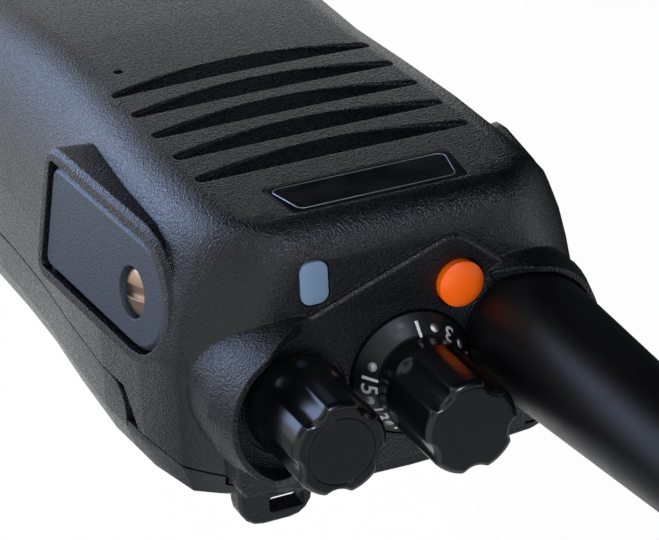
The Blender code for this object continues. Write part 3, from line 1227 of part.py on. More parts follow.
def make_accessory_port():
    """Hinged cover with its coin screw, the jacks behind it and the screw's insert."""
    outline = rounded([(-COVER_FRONT, COVER_LOW), (COVER_REAR, COVER_LOW), (COVER_REAR, COVER_TOP),
                       (-COVER_FRONT, COVER_TOP)],
                      COVER_RADII, 6)
    cover = flat("accessory_cover", outline, COVER_OUT - COVER_T, COVER_OUT, "X", PLATFORM_EDGE * 2)
    pivots = rod("pivots", PIVOT_R, -COVER_FRONT - PIVOT_OUT, COVER_REAR + PIVOT_OUT, (PIVOT_X, 0,
                                                                                       PIVOT_Z), "Y", sides=12)
    head_out = COVER_OUT - COIN_SINK
    head_in = head_out - COIN_T
    seat = rod("coin_seat", COIN_R + SNUG, head_in - GAP, COVER_OUT + OVERRUN, (0, COIN_Y, COIN_Z), "X")
    hole = rod("coin_hole", COIN_STEM_R + GAP, COVER_FLOOR, COVER_OUT, (0, COIN_Y, COIN_Z), "X", sides=20)
    cover = lean(bake(cut(join(cover, pivots), seat, hole)))
    finish(cover, "accessory_cover", RUBBER, 0.6, 0,
           lean_point((PIVOT_X, (COVER_REAR - COVER_FRONT) / 2, PIVOT_Z)))

    rim = head_out - COIN_DOME
    profile = [(0, head_out), (COIN_R / 2, head_out - COIN_DOME / 4), (COIN_R - SNUG, rim), (COIN_R,
                                                                                             rim - SNUG), (COIN_R, head_in),
               (COIN_STEM_R, head_in), (COIN_STEM_R, COVER_FLOOR - INSERT_L + GAP), (0,
                                                                                     COVER_FLOOR - INSERT_L + GAP)]
    screw = place(turned("coin_screw", profile, (0, 0, 0), 24),
                  Matrix.Translation(Vector((0, COIN_Y, COIN_Z))) @ AXIS_TURN["X"])
    slot = block("coin_slot", (-COIN_SLOT_D, -COIN_R * 2, -COIN_SLOT_W / 2), (OVERRUN, COIN_R * 2,
                                                                              COIN_SLOT_W / 2))
    place(slot, Matrix.Translation(Vector((head_out, COIN_Y, COIN_Z))) @ Matrix.Rotation(COIN_SLOT_TURN, 4,
                                                                                         "X"))
    screw = lean(bake(cut(screw, slot)))
    finish(screw, "coin_screw", NICKEL, 0.3, 1.0, lean_point((head_out, COIN_Y, COIN_Z)))

    insert = rod("screw_insert", INSERT_R, COVER_FLOOR - INSERT_L, COVER_FLOOR, (0, COIN_Y, COIN_Z), "X",
                 sides=24)
    bore = rod("insert_inside", COIN_STEM_R + GAP, COVER_FLOOR - INSERT_L - OVERRUN, COVER_FLOOR + OVERRUN,
               (0, COIN_Y, COIN_Z), "X", sides=20)
    finish(lean(bake(cut(insert, bore))), "screw_insert", BRASS, 0.35, 1.0)
    for name, z, share in zip(("microphone_jack", "earphone_jack"), JACK_Z, JACK_BORE_SHARES):
        jack = rod("jack", JACK_R, COVER_FLOOR - JACK_L, COVER_FLOOR, (0, COIN_Y, z), "X", sides=24)
        bore = rod("jack_inside", JACK_R * share, COVER_FLOOR - JACK_BORE_L, COVER_FLOOR + OVERRUN, (0,
                                                                                                     COIN_Y, z), "X", sides=16)
        finish(lean(bake(cut(jack, bore))), name, GLOSS_BLACK, 0.4)


def make_contacts(name, y, way):
    """Three contact strips on a thin insulating base that lies at depth y."""
    low = CONTACT_Z - CONTACT_L / 2
    high = CONTACT_Z + CONTACT_L / 2
    half = CONTACT_PITCH + CONTACT_W / 2
    base = block(name, (-half, min(y, y + way * CONTACT_T), low), (half, max(y, y + way * CONTACT_T), high))
    strips = []
    for index in (-1, 0, 1):
        x = index * CONTACT_PITCH
        ends = (y + way * CONTACT_T / 2, y + way * (CONTACT_T + CONTACT_RISE))
        strips.append(block("strip", (x - CONTACT_W / 2, min(ends), low + CONTACT_RISE),
                            (x + CONTACT_W / 2, max(ends), high - CONTACT_RISE)))
    finish(bake(join(base, *strips)), name, GOLD, 0.3, 1.0)


def make_battery():
    """Pack that closes the back, with its contacts and its sliding latch."""
    body = body_solid("pack_body")
    front = PART_D + GAP
    outline = rounded([(FAR_Y, -OVERRUN), (front, -OVERRUN), (front, PACK_H), (FAR_Y, PACK_H)], (0, 0,
                                                                                                 PACK_CORNER_R, 0))
    pack = bake(common(body, flat("pack_region", outline, -HALF_W - OVERRUN, HALF_W + OVERRUN, "X")))
    half = CONTACT_PITCH + CONTACT_W / 2 + 2 * GAP
    pocket_d = 2 * (CONTACT_T + CONTACT_RISE + GAP)
    cutters = [block("contact_pocket", (-half, PART_D, CONTACT_Z - CONTACT_L / 2 - 2 * GAP),
                     (half, front + pocket_d, CONTACT_Z + CONTACT_L / 2 + 2 * GAP))]
    for x in (-CHARGE_PITCH / 2, CHARGE_PITCH / 2):
        cutters.append(rod("charge_seat", CHARGE_R + SNUG, BACK_D - 4 * GAP, BACK_D + OVERRUN, (x, 0,
                                                                                                CHARGE_Z), "Y", sides=16))
    for z in (BRACKET_LOW + CLIP_SCREW_IN, BRACKET_TOP - CLIP_SCREW_IN):
        cutters.append(rod("clip_bore", CLIP_SCREW_R / 2 + SNUG, BACK_D - CLIP_SCREW_L, BACK_D + OVERRUN,
                           (0, 0, z), "Y", sides=12))
    half = LATCH_W / 2 + GAP
    latch_low = front
    latch_high = front + LATCH_L
    cutters.append(block("latch_recess", (-half, PART_D, -OVERRUN),
                         (half, latch_high + LATCH_TRAVEL + GAP, LATCH_RAISE + LATCH_T + GAP)))
    pack = bake(cut(pack, *cutters))
    finish(pack, "battery_pack", BLACK, 0.55)

    make_contacts("frame_contacts", PART_D + GAP, 1)
    make_contacts("pack_contacts", front + pocket_d - GAP, -1)
    for name, x in (("left", -CHARGE_PITCH / 2), ("right", CHARGE_PITCH / 2)):
        stud = rod("stud", CHARGE_R, BACK_D - 3 * GAP, BACK_D - GAP, (x, 0, CHARGE_Z), "Y", sides=16)
        finish(stud, "charging_contact_" + name, NICKEL, 0.3, 1.0)

    latch = block("battery_latch", (-LATCH_W / 2, PART_D - LATCH_HOOK, LATCH_RAISE), (LATCH_W / 2,
                                                                                      latch_high, LATCH_RAISE + LATCH_T), SNUG)
    ridges = 4
    for index in range(1, ridges + 1):
        y = latch_low + LATCH_L * index / (ridges + 1)
        cut(latch, block("groove", (-LATCH_W / 2 + 2 * LATCH_T, y - GAP, 0),
                         (LATCH_W / 2 - 2 * LATCH_T, y + GAP, LATCH_RAISE + GAP)))
    finish(bake(latch), "battery_latch", RUBBER, 0.5, 0, (0, (latch_low + latch_high) / 2, LATCH_RAISE))


def make_belt_clip():
    """Bracket on the pack, and the sprung clip that turns on its pin."""
    base_in = BACK_D + GAP
    base_out = base_in + BRACKET_T
    ear_in = BRACKET_W / 2 - EAR_T
    bracket = block("clip_bracket", (-BRACKET_W / 2, base_in, BRACKET_LOW), (BRACKET_W / 2, base_out,
                                                                             BRACKET_TOP), SNUG * 2)
    web = rounded([(base_in + GAP, CLIP_PIVOT_Z - 2 * EAR_R), (CLIP_PIVOT_Y + EAR_R, CLIP_PIVOT_Z - EAR_R),
                   (CLIP_PIVOT_Y + EAR_R, CLIP_PIVOT_Z + EAR_R), (base_in + GAP,
                                                                  CLIP_PIVOT_Z + 2 * EAR_R)], (0, EAR_R,
                                                                                               EAR_R, 0), 3)
    ears = [flat("ear", web, ear_in, ear_in + EAR_T, "X"), flat("ear", web, -ear_in - EAR_T, -ear_in, "X")]
    pin_hole = rod("pin_hole", CLIP_PIN_R + SNUG, -CLIP_W, CLIP_W, (0, CLIP_PIVOT_Y, CLIP_PIVOT_Z), "X",
                   sides=12)
    screw_places = (BRACKET_LOW + CLIP_SCREW_IN, BRACKET_TOP - CLIP_SCREW_IN)
    holes = [rod("clip_hole", CLIP_SCREW_R / 2 + SNUG, BACK_D, base_out + OVERRUN, (0, 0, z), "Y",
                 sides=8) for z in screw_places]
    bracket = bake(cut(join(bracket, *ears), pin_hole, *holes))
    finish(bracket, "clip_bracket", BLACK, 0.5)
    pin = rod("clip_pin", CLIP_PIN_R, -CLIP_W / 2 + GAP, CLIP_W / 2 - GAP, (0, CLIP_PIVOT_Y, CLIP_PIVOT_Z),
              "X", sides=12)
    finish(pin, "clip_pin", STEEL, 0.3, 1.0)

    inner = BACK_D + CLIP_REACH
    outer = inner + CLIP_T
    tip_in = BACK_D + CLIP_TIP_GAP
    thumb_z = CLIP_PIVOT_Z + CLIP_THUMB
    bend_z = CLIP_LOW + CLIP_BEND_H
    tip_z = CLIP_LOW + 2 * CLIP_T
    half_up = CLIP_PIVOT_Z + CLIP_THUMB / 2
    outline = rounded([(outer + CLIP_T, thumb_z), (outer, half_up), (outer, bend_z), (tip_in + CLIP_T, tip_z),
                       (tip_in + 2 * CLIP_T, CLIP_LOW), (tip_in + CLIP_T, CLIP_LOW), (tip_in,
                                                                                      tip_z), (inner, bend_z),
                       (inner, half_up), (inner + CLIP_T, thumb_z)],
                      (CLIP_T / 3, CLIP_T, CLIP_T, CLIP_T, CLIP_T / 3, CLIP_T / 3, CLIP_T, CLIP_T, CLIP_T,
                       CLIP_T / 3), 2)
    clip = flat("belt_clip", outline, -CLIP_W / 2, CLIP_W / 2, "X")
    lug = rounded([(CLIP_PIVOT_Y - EAR_R, CLIP_PIVOT_Z - EAR_R), (inner + GAP, CLIP_PIVOT_Z - 2 * EAR_R),
                   (inner + GAP, CLIP_PIVOT_Z + 2 * EAR_R), (CLIP_PIVOT_Y - EAR_R,
                                                             CLIP_PIVOT_Z + EAR_R)], (EAR_R, 0, 0, EAR_R), 3)
    lug_in = BRACKET_W / 2 + GAP
    lugs = [flat("clip_lug", lug, lug_in, lug_in + CLIP_LUG_T, "X"), flat("clip_lug", lug,
                                                                          -lug_in - CLIP_LUG_T, -lug_in, "X")]
    pin_hole = rod("pin_hole", CLIP_PIN_R + SNUG, -CLIP_W, CLIP_W, (0, CLIP_PIVOT_Y, CLIP_PIVOT_Z), "X",
                   sides=12)
    clip = bake(cut(join(clip, *lugs), pin_hole))
    finish(clip, "belt_clip", BLACK, 0.5, 0, (0, CLIP_PIVOT_Y, CLIP_PIVOT_Z))

    for name, z in zip(("lower", "upper"), screw_places):
        head = rod("head", CLIP_SCREW_R, base_out + GAP, base_out + GAP + CLIP_SCREW_H, (0, 0, z), "Y",
                   sides=12)
        shank = rod("shank", CLIP_SCREW_R / 2, BACK_D - CLIP_SCREW_L + GAP, base_out + GAP + SNUG, (0, 0,
                                                                                                    z), "Y", sides=8)
        finish(bake(join(head, shank)), "clip_screw_" + name, STEEL, 0.3, 1.0)
    make_clip_spring(ear_in, inner)


def make_clip_spring(ear_in, clip_inner):
    """Torsion spring round the pin, one leg on the bracket and one on the clip."""
    radius = CLIP_PIN_R + SPRING_WIRE_R + SNUG * 2
    half = ear_in - GAP - SPRING_WIRE_R
    turns = SPRING_TURNS + 0.25
    count = round(turns * SPRING_POINTS_PER_TURN)
    coil = []
    for step in range(count + 1):
        angle = math.tau * turns * step / count
        coil.append(Vector((-half + 2 * half * step / count, -radius * math.cos(angle),
                            radius * math.sin(angle))))
    rest = clip_inner - GAP - SPRING_WIRE_R - CLIP_PIVOT_Y
    path = [coil[0] - Vector((0, 0, SPRING_LEG_L))] + coil
    path += [Vector((half, rest - SPRING_WIRE_R, radius)), Vector((half, rest, radius + SPRING_WIRE_R)),
             Vector((half, rest, radius + SPRING_LEG_L))]
    least = min((a - b).length for i, a in enumerate(coil) for b in coil[i + SPRING_POINTS_PER_TURN // 2:])
    print("least gap between the spring's turns: %.2f mm" % ((least - 2 * SPRING_WIRE_R) * 1000))
    curve = bpy.data.curves.new("clip_spring", "CURVE")
    curve.dimensions = "3D"
    curve.bevel_depth = SPRING_WIRE_R
    curve.bevel_resolution = 1
    curve.use_fill_caps = True
    spline = curve.splines.new("POLY")
    spline.points.add(len(path) - 1)
    for point, place_at in zip(spline.points, path):
        point.co = (*place_at, 1)
    spring = bake(make_object("clip_spring", curve))
    place(spring, Matrix.Translation(Vector((0, CLIP_PIVOT_Y, CLIP_PIVOT_Z))))
    finish(spring, "clip_spring", STEEL, 0.3, 1.0, (0, CLIP_PIVOT_Y, CLIP_PIVOT_Z))


def make_case_screws():
    for index, (x, z) in enumerate(case_screw_places()):
        seat = PART_D - CASE_SCREW_HEAD_T - GAP
        head = rod("head", CASE_SCREW_HEAD_R, seat, seat + CASE_SCREW_HEAD_T, (x, 0, z), "Y", sides=12)
        shank = rod("shank", CASE_SCREW_R, FRAME_PLATE_FRONT - CASE_SCREW_L + GAP, seat + SNUG, (x, 0, z),
                    "Y", sides=8)
        finish(bake(join(head, shank)), "case_screw_%d" % (index + 1), STEEL, 0.3, 1.0)


make_front_housing()
make_nameplate()
make_led_window()
make_chassis()
make_controls()
make_dial_ring()
make_top_button()
make_control_board()
make_antenna()
make_speaker()
make_boards()
make_side_keys()
make_accessory_port()
make_battery()
make_belt_clip()
make_case_screws()
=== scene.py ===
# %% [markdown]
# # A hand-held two-way radio, dressed for its portrait
# The solids of this radio are already drawn: every shell, knob, key and screw comes in as a
# fixed frame, in metres, standing on its base with the speaker face towards -Y. This lesson
# gives them their looks. Some solids only need a finish. Others, such as the knobs and the
# antenna, are drawn again with finer meshes, and small things such as the dial's numbers are
# added. Every new piece rides on the body of the solid that carries it.

import json
import math

import bmesh
import bpy
from mathutils import Matrix, Vector


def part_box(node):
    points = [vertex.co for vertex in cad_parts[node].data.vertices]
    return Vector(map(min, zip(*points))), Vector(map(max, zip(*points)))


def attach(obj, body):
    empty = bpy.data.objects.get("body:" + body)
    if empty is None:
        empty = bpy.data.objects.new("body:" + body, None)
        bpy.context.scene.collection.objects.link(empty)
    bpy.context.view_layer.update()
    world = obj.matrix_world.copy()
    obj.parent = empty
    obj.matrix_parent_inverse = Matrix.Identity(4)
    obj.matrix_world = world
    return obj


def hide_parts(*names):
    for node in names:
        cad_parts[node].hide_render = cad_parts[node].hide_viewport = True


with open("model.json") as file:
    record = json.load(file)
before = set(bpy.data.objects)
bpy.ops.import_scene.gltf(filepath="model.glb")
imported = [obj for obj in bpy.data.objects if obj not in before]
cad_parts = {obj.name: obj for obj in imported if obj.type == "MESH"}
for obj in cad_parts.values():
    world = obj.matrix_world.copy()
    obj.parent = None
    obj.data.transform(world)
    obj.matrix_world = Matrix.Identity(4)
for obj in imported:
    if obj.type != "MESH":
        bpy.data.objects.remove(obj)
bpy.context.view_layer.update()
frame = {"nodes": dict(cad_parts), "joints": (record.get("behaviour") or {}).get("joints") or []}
NODES = frame["nodes"]
JOINTS = {joint["name"]: joint for joint in frame["joints"]}
scene = bpy.context.scene

# %% Units and colours
MM = 0.001


def srgb(code):
    """A colour written as hex, as a picture editor shows it, in the linear light of a shader."""
    values = [int(code[i:i + 2], 16) / 255 for i in (0, 2, 4)]
    linear = [v / 12.92 if v <= 0.04045 else ((v + 0.055) / 1.055) ** 2.4 for v in values]
    return (*linear, 1.0)


def middle(node):
    low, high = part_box(node)
    return (Vector(low) + Vector(high)) / 2


# %% [markdown]
# ## The camera
# The photograph was taken from above the top end, with a long lens, and it is a crop: the lens
# axis doesn't pass through the picture's middle. A camera shift makes the same crop. The place
# and turn were found by fitting the knobs' circles, the grille's slots and the antenna.

# %% Camera
PHOTO_W, PHOTO_H = 659, 540
FOCAL_PIXELS = 2788.14
AXIS_PIXEL = (300.86, 157.77)
SENSOR_W = 36
CAMERA_AT = Vector((118.942, -146.701, 384.397)) * MM
CAMERA_AIM = Vector((-0.350108, 0.389416, -0.851927))
CAMERA_UP = Vector((-0.198750, -0.919663, -0.338700))

camera_data = bpy.data.cameras.new("camera")
camera = bpy.data.objects.new("camera", camera_data)
scene.collection.objects.link(camera)
camera_data.sensor_width = SENSOR_W
camera_data.lens = FOCAL_PIXELS * SENSOR_W / PHOTO_W
camera_data.shift_x = (PHOTO_W / 2 - AXIS_PIXEL[0]) / PHOTO_W
camera_data.shift_y = -(PHOTO_H / 2 - AXIS_PIXEL[1]) / PHOTO_W
camera_data.clip_start = 10 * MM
right = CAMERA_AIM.cross(CAMERA_UP).normalized()
turn = Matrix((right, CAMERA_UP, -CAMERA_AIM)).transposed().to_4x4()
camera.matrix_world = Matrix.Translation(CAMERA_AT) @ turn
scene.camera = camera
print("lens %.0f mm, %.0f mm above the base" % (camera_data.lens, CAMERA_AT.z / MM))

# %% [markdown]
# ## Building materials and node trees
# Each finish is a small tree of nodes. One function adds a node, with its settings and what it
# is linked to, so that a material reads from top to bottom like a recipe. The same function
# serves the Geometry Nodes trees further down. Patterns take their scale from a size in
# millimetres: a texture of scale S repeats about once every 1 / S metres.

# %% One function for every node
def add(tree, kind, inputs=(), out=0, **settings):
    """Adds a node; inputs maps a socket's name or number to a value or to another output."""
    node = tree.nodes.new(kind)
    for name, value in settings.items():
        setattr(node, name, value)
    for name, value in dict(inputs).items():
        if isinstance(value, bpy.types.NodeSocket):
            tree.links.new(value, node.inputs[name])
        else:
            node.inputs[name].default_value = value
    return node.outputs[out]


def start_material(name, colour, roughness, metallic=0.0, ior=1.5, specular=0.5):
    """A new material with its Principled shader set to plain values."""
    material = bpy.data.materials.new(name)
    material.use_nodes = True
    shader = material.node_tree.nodes["Principled BSDF"]
    shader.inputs["Base Color"].default_value = srgb(colour)
    shader.inputs["Roughness"].default_value = roughness
    shader.inputs["Metallic"].default_value = metallic
    shader.inputs["IOR"].default_value = ior
    shader.inputs["Specular IOR Level"].default_value = specular
    return material, material.node_tree, shader


# %% [markdown]
# ## Moulded polycarbonate
# The case is injection-moulded polycarbonate blend. Its tool is etched with a leather grain:
# pebbles about half a millimetre across that scatter the light into fine specks. The grain is a
# bump from a cell texture, softened with noise so that no two pebbles match. The pebbles' tops
# are rubbed a little smoother than the valleys, so roughness follows the same height.

# %% Leather-grained polycarbonate
SOFT_EDGE = 0.25 * MM
POLYCARBONATE_IOR = 1.58
WANDER_SPAN = 2.5
PIT_SPAN = 0.4
PIT_SHARE = 0.6
PEBBLE_SOFTNESS = 0.25
RUBBED_BY = 0.06
DULLED_BY = 0.1


def grained_plastic(name, colour, grain, roughness, depth, specular):
    """A leather grain of pebbles, each as wide as grain, in a bump as deep as depth."""
    material, tree, shader = start_material(name, colour, roughness, ior=POLYCARBONATE_IOR, specular=specular)
    place = add(tree, "ShaderNodeTexCoord", out=3)
    wander = add(tree, "ShaderNodeTexNoise",
                 {"Vector": place, "Scale": 1 / (grain * WANDER_SPAN), "Detail": 2}, out=1)
    bent = add(tree, "ShaderNodeVectorMath", {0: wander, 1: (grain,) * 3}, operation="MULTIPLY")
    spot = add(tree, "ShaderNodeVectorMath", {0: place, 1: bent}, operation="ADD")
    cells = add(tree, "ShaderNodeTexVoronoi",
                {"Vector": spot, "Scale": 1 / grain, "Smoothness": PEBBLE_SOFTNESS}, feature="SMOOTH_F1")
    fine = add(tree, "ShaderNodeTexNoise", {"Vector": place, "Scale": 1 / (grain * PIT_SPAN), "Detail": 3})
    height = add(tree, "ShaderNodeMath", {0: fine, 1: PIT_SHARE, 2: cells}, operation="MULTIPLY_ADD")
    edge = add(tree, "ShaderNodeBevel", {"Radius": SOFT_EDGE})
    bump = add(tree, "ShaderNodeBump",
               {"Height": height, "Distance": depth, "Strength": 1.0, "Normal": edge})
    tree.links.new(bump, shader.inputs["Normal"])
    gloss = add(tree, "ShaderNodeMapRange", {
        "Value": cells, "From Min": 0.1, "From Max": 0.7,
        "To Min": roughness + DULLED_BY, "To Max": roughness - RUBBED_BY})
    tree.links.new(gloss, shader.inputs["Roughness"])
    return material


case_plastic = grained_plastic(
    "leather_grained_polycarbonate", "0A0C10", grain=0.29 * MM, roughness=0.28, depth=0.075 * MM,
    specular=0.34)
# The accessory cover's base colour is partly the rubber's own grey and partly a painted bluish sheen of the
# light that it reflects.
cover_elastomer_painted_sheen = grained_plastic(
    "fine_grained_elastomer_painted_sheen", "27303B", grain=0.30 * MM, roughness=0.42, depth=0.04 * MM, specular=0.50)
casting_paint = grained_plastic(
    "powder_coated_die_casting", "0C0D10", grain=0.36 * MM, roughness=0.40, depth=0.05 * MM,
    specular=0.34)

# %% [markdown]
# ## Smooth finishes
# Knobs, dial, antenna and keys come from polished tools. Under the eye they still aren't
# perfect: handling leaves a faint cloud of rougher and smoother patches, and the surface waves
# by a few microns. One function makes such a finish from a patch size and a bump depth. Turned
# and plated metal gets the same clouds, finer and shallower.

# %% Smooth moulded and plated finishes
GRIT_PER_PATCH = 6


def smooth_finish(name, colour, roughness, patch, depth, metallic=0.0, ior=1.5, specular=0.5, spread=0.06):
    """Clouds as wide as patch, which vary the roughness by spread, over waves as deep as depth."""
    material, tree, shader = start_material(name, colour, roughness, metallic, ior, specular)
    place = add(tree, "ShaderNodeTexCoord", out=3)
    cloud = add(tree, "ShaderNodeTexNoise", {"Vector": place, "Scale": 1 / patch, "Detail": 4})
    grit = add(tree, "ShaderNodeTexNoise", {"Vector": place, "Scale": GRIT_PER_PATCH / patch, "Detail": 2})
    gloss = add(tree, "ShaderNodeMapRange", {
        "Value": cloud, "From Min": 0.3, "From Max": 0.7,
        "To Min": roughness - spread, "To Max": roughness + spread})
    tree.links.new(gloss, shader.inputs["Roughness"])
    edge = add(tree, "ShaderNodeBevel", {"Radius": SOFT_EDGE / 2})
    bump = add(tree, "ShaderNodeBump",
               {"Height": grit, "Distance": depth, "Strength": 0.8, "Normal": edge})
    tree.links.new(bump, shader.inputs["Normal"])
    return material


def metal_finish(name, colour, roughness, patch, depth=0.010 * MM):
    """A smooth finish in metal, which keeps the shader's own index of refraction."""
    return smooth_finish(name, colour, roughness, patch, depth, metallic=1.0)


knob_plastic = smooth_finish(
    "polished_abs_black", "0A0B0D", roughness=0.22, patch=1.5 * MM, depth=0.002 * MM, specular=0.40,
    spread=0.03)
dial_plastic = smooth_finish(
    "satin_abs_black", "0C0D10", roughness=0.42, patch=0.8 * MM, depth=0.004 * MM, specular=0.32)
antenna_rubber = smooth_finish(
    "moulded_thermoplastic_elastomer", "0A090B", roughness=0.40, patch=2 * MM, depth=0.006 * MM,
    specular=0.25, spread=0.03)
key_rubber = smooth_finish(
    "moulded_silicone_rubber", "17181B", roughness=0.6, patch=0.7 * MM, depth=0.012 * MM, ior=1.43,
    specular=0.4)
plate_lacquer = smooth_finish(
    "lacquered_aluminium_plate", "0E0F12", roughness=0.2, patch=3 * MM, depth=0.002 * MM, specular=0.4)
orange_abs = smooth_finish(
    "satin_orange_abs", "EA5E08", roughness=0.42, patch=0.8 * MM, depth=0.010 * MM, ior=1.53,
    specular=0.4)
light_guide = smooth_finish(
    "frosted_polycarbonate_light_guide", "6A7E96", roughness=0.45, patch=0.6 * MM, depth=0.010 * MM,
    ior=POLYCARBONATE_IOR, specular=0.3)
print_ink = smooth_finish(
    "pad_printed_white_ink", "D9DEE2", roughness=0.6, patch=0.4 * MM, depth=0.004 * MM, specular=0.3)
solder_mask = smooth_finish(
    "green_solder_mask", "1C5A3A", roughness=0.3, patch=1 * MM, depth=0.010 * MM)
cone_paper = smooth_finish(
    "pressed_cone_paper", "141414", roughness=0.85, patch=0.5 * MM, depth=0.030 * MM, specular=0.2)
felt = smooth_finish(
    "black_dust_felt", "0E0E10", roughness=0.95, patch=0.25 * MM, depth=0.060 * MM, specular=0.1)
# Painted shade: a near-black finish for the dark crosses that stand in for the shade inside the clip screws'
# driver recesses.
recess_shade = smooth_finish(
    "painted_shade_in_driver_recess", "0C0C0D", roughness=0.7, patch=0.3 * MM, depth=0.010 * MM, specular=0.2)
nickel = metal_finish("nickel_plated_brass", "B9AE9F", roughness=0.28, patch=0.6 * MM)
coin_bronze = metal_finish("rubbed_nickel_on_brass", "B0937A", roughness=0.30, patch=0.6 * MM)
steel = metal_finish("zinc_plated_steel", "A5A8AC", roughness=0.34, patch=0.6 * MM)
brass = metal_finish("turned_brass", "C09A52", roughness=0.3, patch=0.5 * MM)
gold = metal_finish(
    "gold_flashed_spring_contact", "D8B25C", roughness=0.25, patch=0.5 * MM, depth=0.006 * MM)

# %% Give every solid a finish
FINISH = {
    case_plastic: ("front_housing", "battery_pack", "belt_clip", "clip_bracket"),
    casting_paint: ("chassis",),
    cover_elastomer_painted_sheen: ("accessory_cover",),
    knob_plastic: ("volume_knob", "channel_knob", "top_switch", "microphone_jack", "earphone_jack"),
    dial_plastic: ("dial_ring", "battery_latch"),
    antenna_rubber: ("antenna", "antenna_seal"),
    key_rubber: ("key_frame", "ptt_button", "side_key_upper", "side_key_lower"),
    plate_lacquer: ("nameplate",), orange_abs: ("top_button",), light_guide: ("led_window",),
    brass: ("antenna_stud", "antenna_socket", "screw_insert"),
    gold: ("frame_contacts", "pack_contacts"),
    solder_mask: ("control_board", "main_board", "side_switch_board"),
    cone_paper: ("speaker_cone",), felt: ("speaker_felt",),
    nickel: ("coin_screw", "volume_nut", "channel_nut", "microphone", "shield_can_lower", "shield_can_upper",
             "ptt_button_switch", "side_key_upper_switch", "side_key_lower_switch",
             "charging_contact_left", "charging_contact_right"),
}
CREASE = math.radians(35)
WELD_GAP = 0.001 * MM
dressed = {node: finish for finish, nodes in FINISH.items() for node in nodes}
for name, node in NODES.items():
    node.data.materials.clear()
    node.data.materials.append(dressed.get(name, steel))
    node.data.shade_smooth()
    weld = node.modifiers.new("weld", "WELD")
    weld.merge_threshold = WELD_GAP
    split = node.modifiers.new("split", "EDGE_SPLIT")
    split.split_angle = CREASE
print("solids with the plain steel finish:", sorted(set(NODES) - set(dressed)))

# %% [markdown]
# ## Turned pieces
# Knobs, antenna and dial ring are all turned shapes. A profile of (radius, height) points is
# spun about a vertical axis into a mesh fine enough to show no facets.

# %% Lathe
STEPS = 180


def turned(name, profile, at, steps=STEPS):
    """Spins a profile of (radius, height) points, listed from the top middle, about a vertical axis."""
    bm = bmesh.new()
    rings = []
    for radius, height in profile:
        count = steps if radius else 1
        rings.append([bm.verts.new((at[0] + radius * math.cos(math.tau * i / steps),
                                    at[1] + radius * math.sin(math.tau * i / steps), height))
                      for i in range(count)])
    for upper, lower in zip(rings, rings[1:]):
        for i in range(steps):
            j = (i + 1) % steps
            corners = []
            for vert in (upper[i % len(upper)], lower[i % len(lower)], lower[j % len(lower)],
                         upper[j % len(upper)]):
                if vert not in corners:
                    corners.append(vert)
            bm.faces.new(corners)
    bmesh.ops.recalc_face_normals(bm, faces=bm.faces)
    mesh = bpy.data.meshes.new(name)
    bm.to_mesh(mesh)
    bm.free()
    obj = bpy.data.objects.new(name, mesh)
    scene.collection.objects.link(obj)
    return obj


def arc(centre, radius, start, stop, steps):
    """Points on an arc of a profile, angles in degrees from the radial direction upwards."""
    points = []
    for i in range(steps + 1):
        angle = math.radians(start + (stop - start) * i / steps)
        points.append((centre[0] + radius * math.cos(angle), centre[1] + radius * math.sin(angle)))
    return points


def line(start, stop, steps):
    """Points between two profile points, without the ends."""
    return [(start[0] + (stop[0] - start[0]) * i / steps, start[1] + (stop[1] - start[1]) * i / steps)
            for i in range(1, steps)]


def plain_mesh(obj):
    """Replaces an object's mesh by its evaluated one and takes its modifiers off."""
    mesh = bpy.data.meshes.new_from_object(obj.evaluated_get(bpy.context.evaluated_depsgraph_get()))
    obj.modifiers.clear()
    obj.data = mesh
    mesh.name = obj.name
    return obj


def cut_away(obj, cutter):
    """Cuts one object out of another with an exact Boolean and deletes the cutter."""
    cut = obj.modifiers.new("cut", "BOOLEAN")
    cut.operation = "DIFFERENCE"
    cut.solver = "EXACT"
    cut.object = cutter
    plain_mesh(obj)
    bpy.data.objects.remove(cutter)


def carry(obj, body, finish, replaced=None):
    """Gives a piece its body and finish, and hides the solid that it replaces."""
    obj.data.materials.clear()
    obj.data.materials.append(finish)
    obj.data.shade_smooth()
    if replaced:
        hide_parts(replaced)
    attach(obj, body)
    return obj


# %% [markdown]
# ## Scalloped knobs
# Both knobs are turned shapes with five scallops pressed into them. Cutting scallops with
# Booleans leaves hard edges, so a small node tree makes them by rule: it folds the angle of each
# point of a turned blank into one scallop, works out how far the surface of a round cutter stands
# from the axis there, and takes the smooth minimum of that and the blank. The cutter ends in a
# ball, so a scallop runs out above the skirt, and the knob's rounded top edge follows it.

# %% A tree that presses scallops into a blank
def start_tree(name, sockets):
    """A Geometry Nodes tree with named inputs after its geometry; gives the inputs' outputs."""
    tree = bpy.data.node_groups.new(name, "GeometryNodeTree")
    tree.interface.new_socket("Geometry", in_out="INPUT", socket_type="NodeSocketGeometry")
    for label, kind in sockets:
        tree.interface.new_socket(label, in_out="INPUT", socket_type="NodeSocket" + kind)
    tree.interface.new_socket("Geometry", in_out="OUTPUT", socket_type="NodeSocketGeometry")
    return tree, tree.nodes.new("NodeGroupInput").outputs


def end_tree(tree, geometry, material):
    real = add(tree, "GeometryNodeRealizeInstances", {0: geometry})
    painted = add(tree, "GeometryNodeSetMaterial", {0: real, "Material": material})
    tree.links.new(painted, tree.nodes.new("NodeGroupOutput").inputs[0])


def run_tree(obj, tree, values):
    """Sets a tree's inputs by identifier, then makes the result a plain mesh."""
    rule = obj.modifiers.new("rule", "NODES")
    rule.node_group = tree
    for item in tree.interface.items_tree:
        if item.in_out == "INPUT" and item.name in values:
            rule[item.identifier] = values[item.name]
    return plain_mesh(obj)


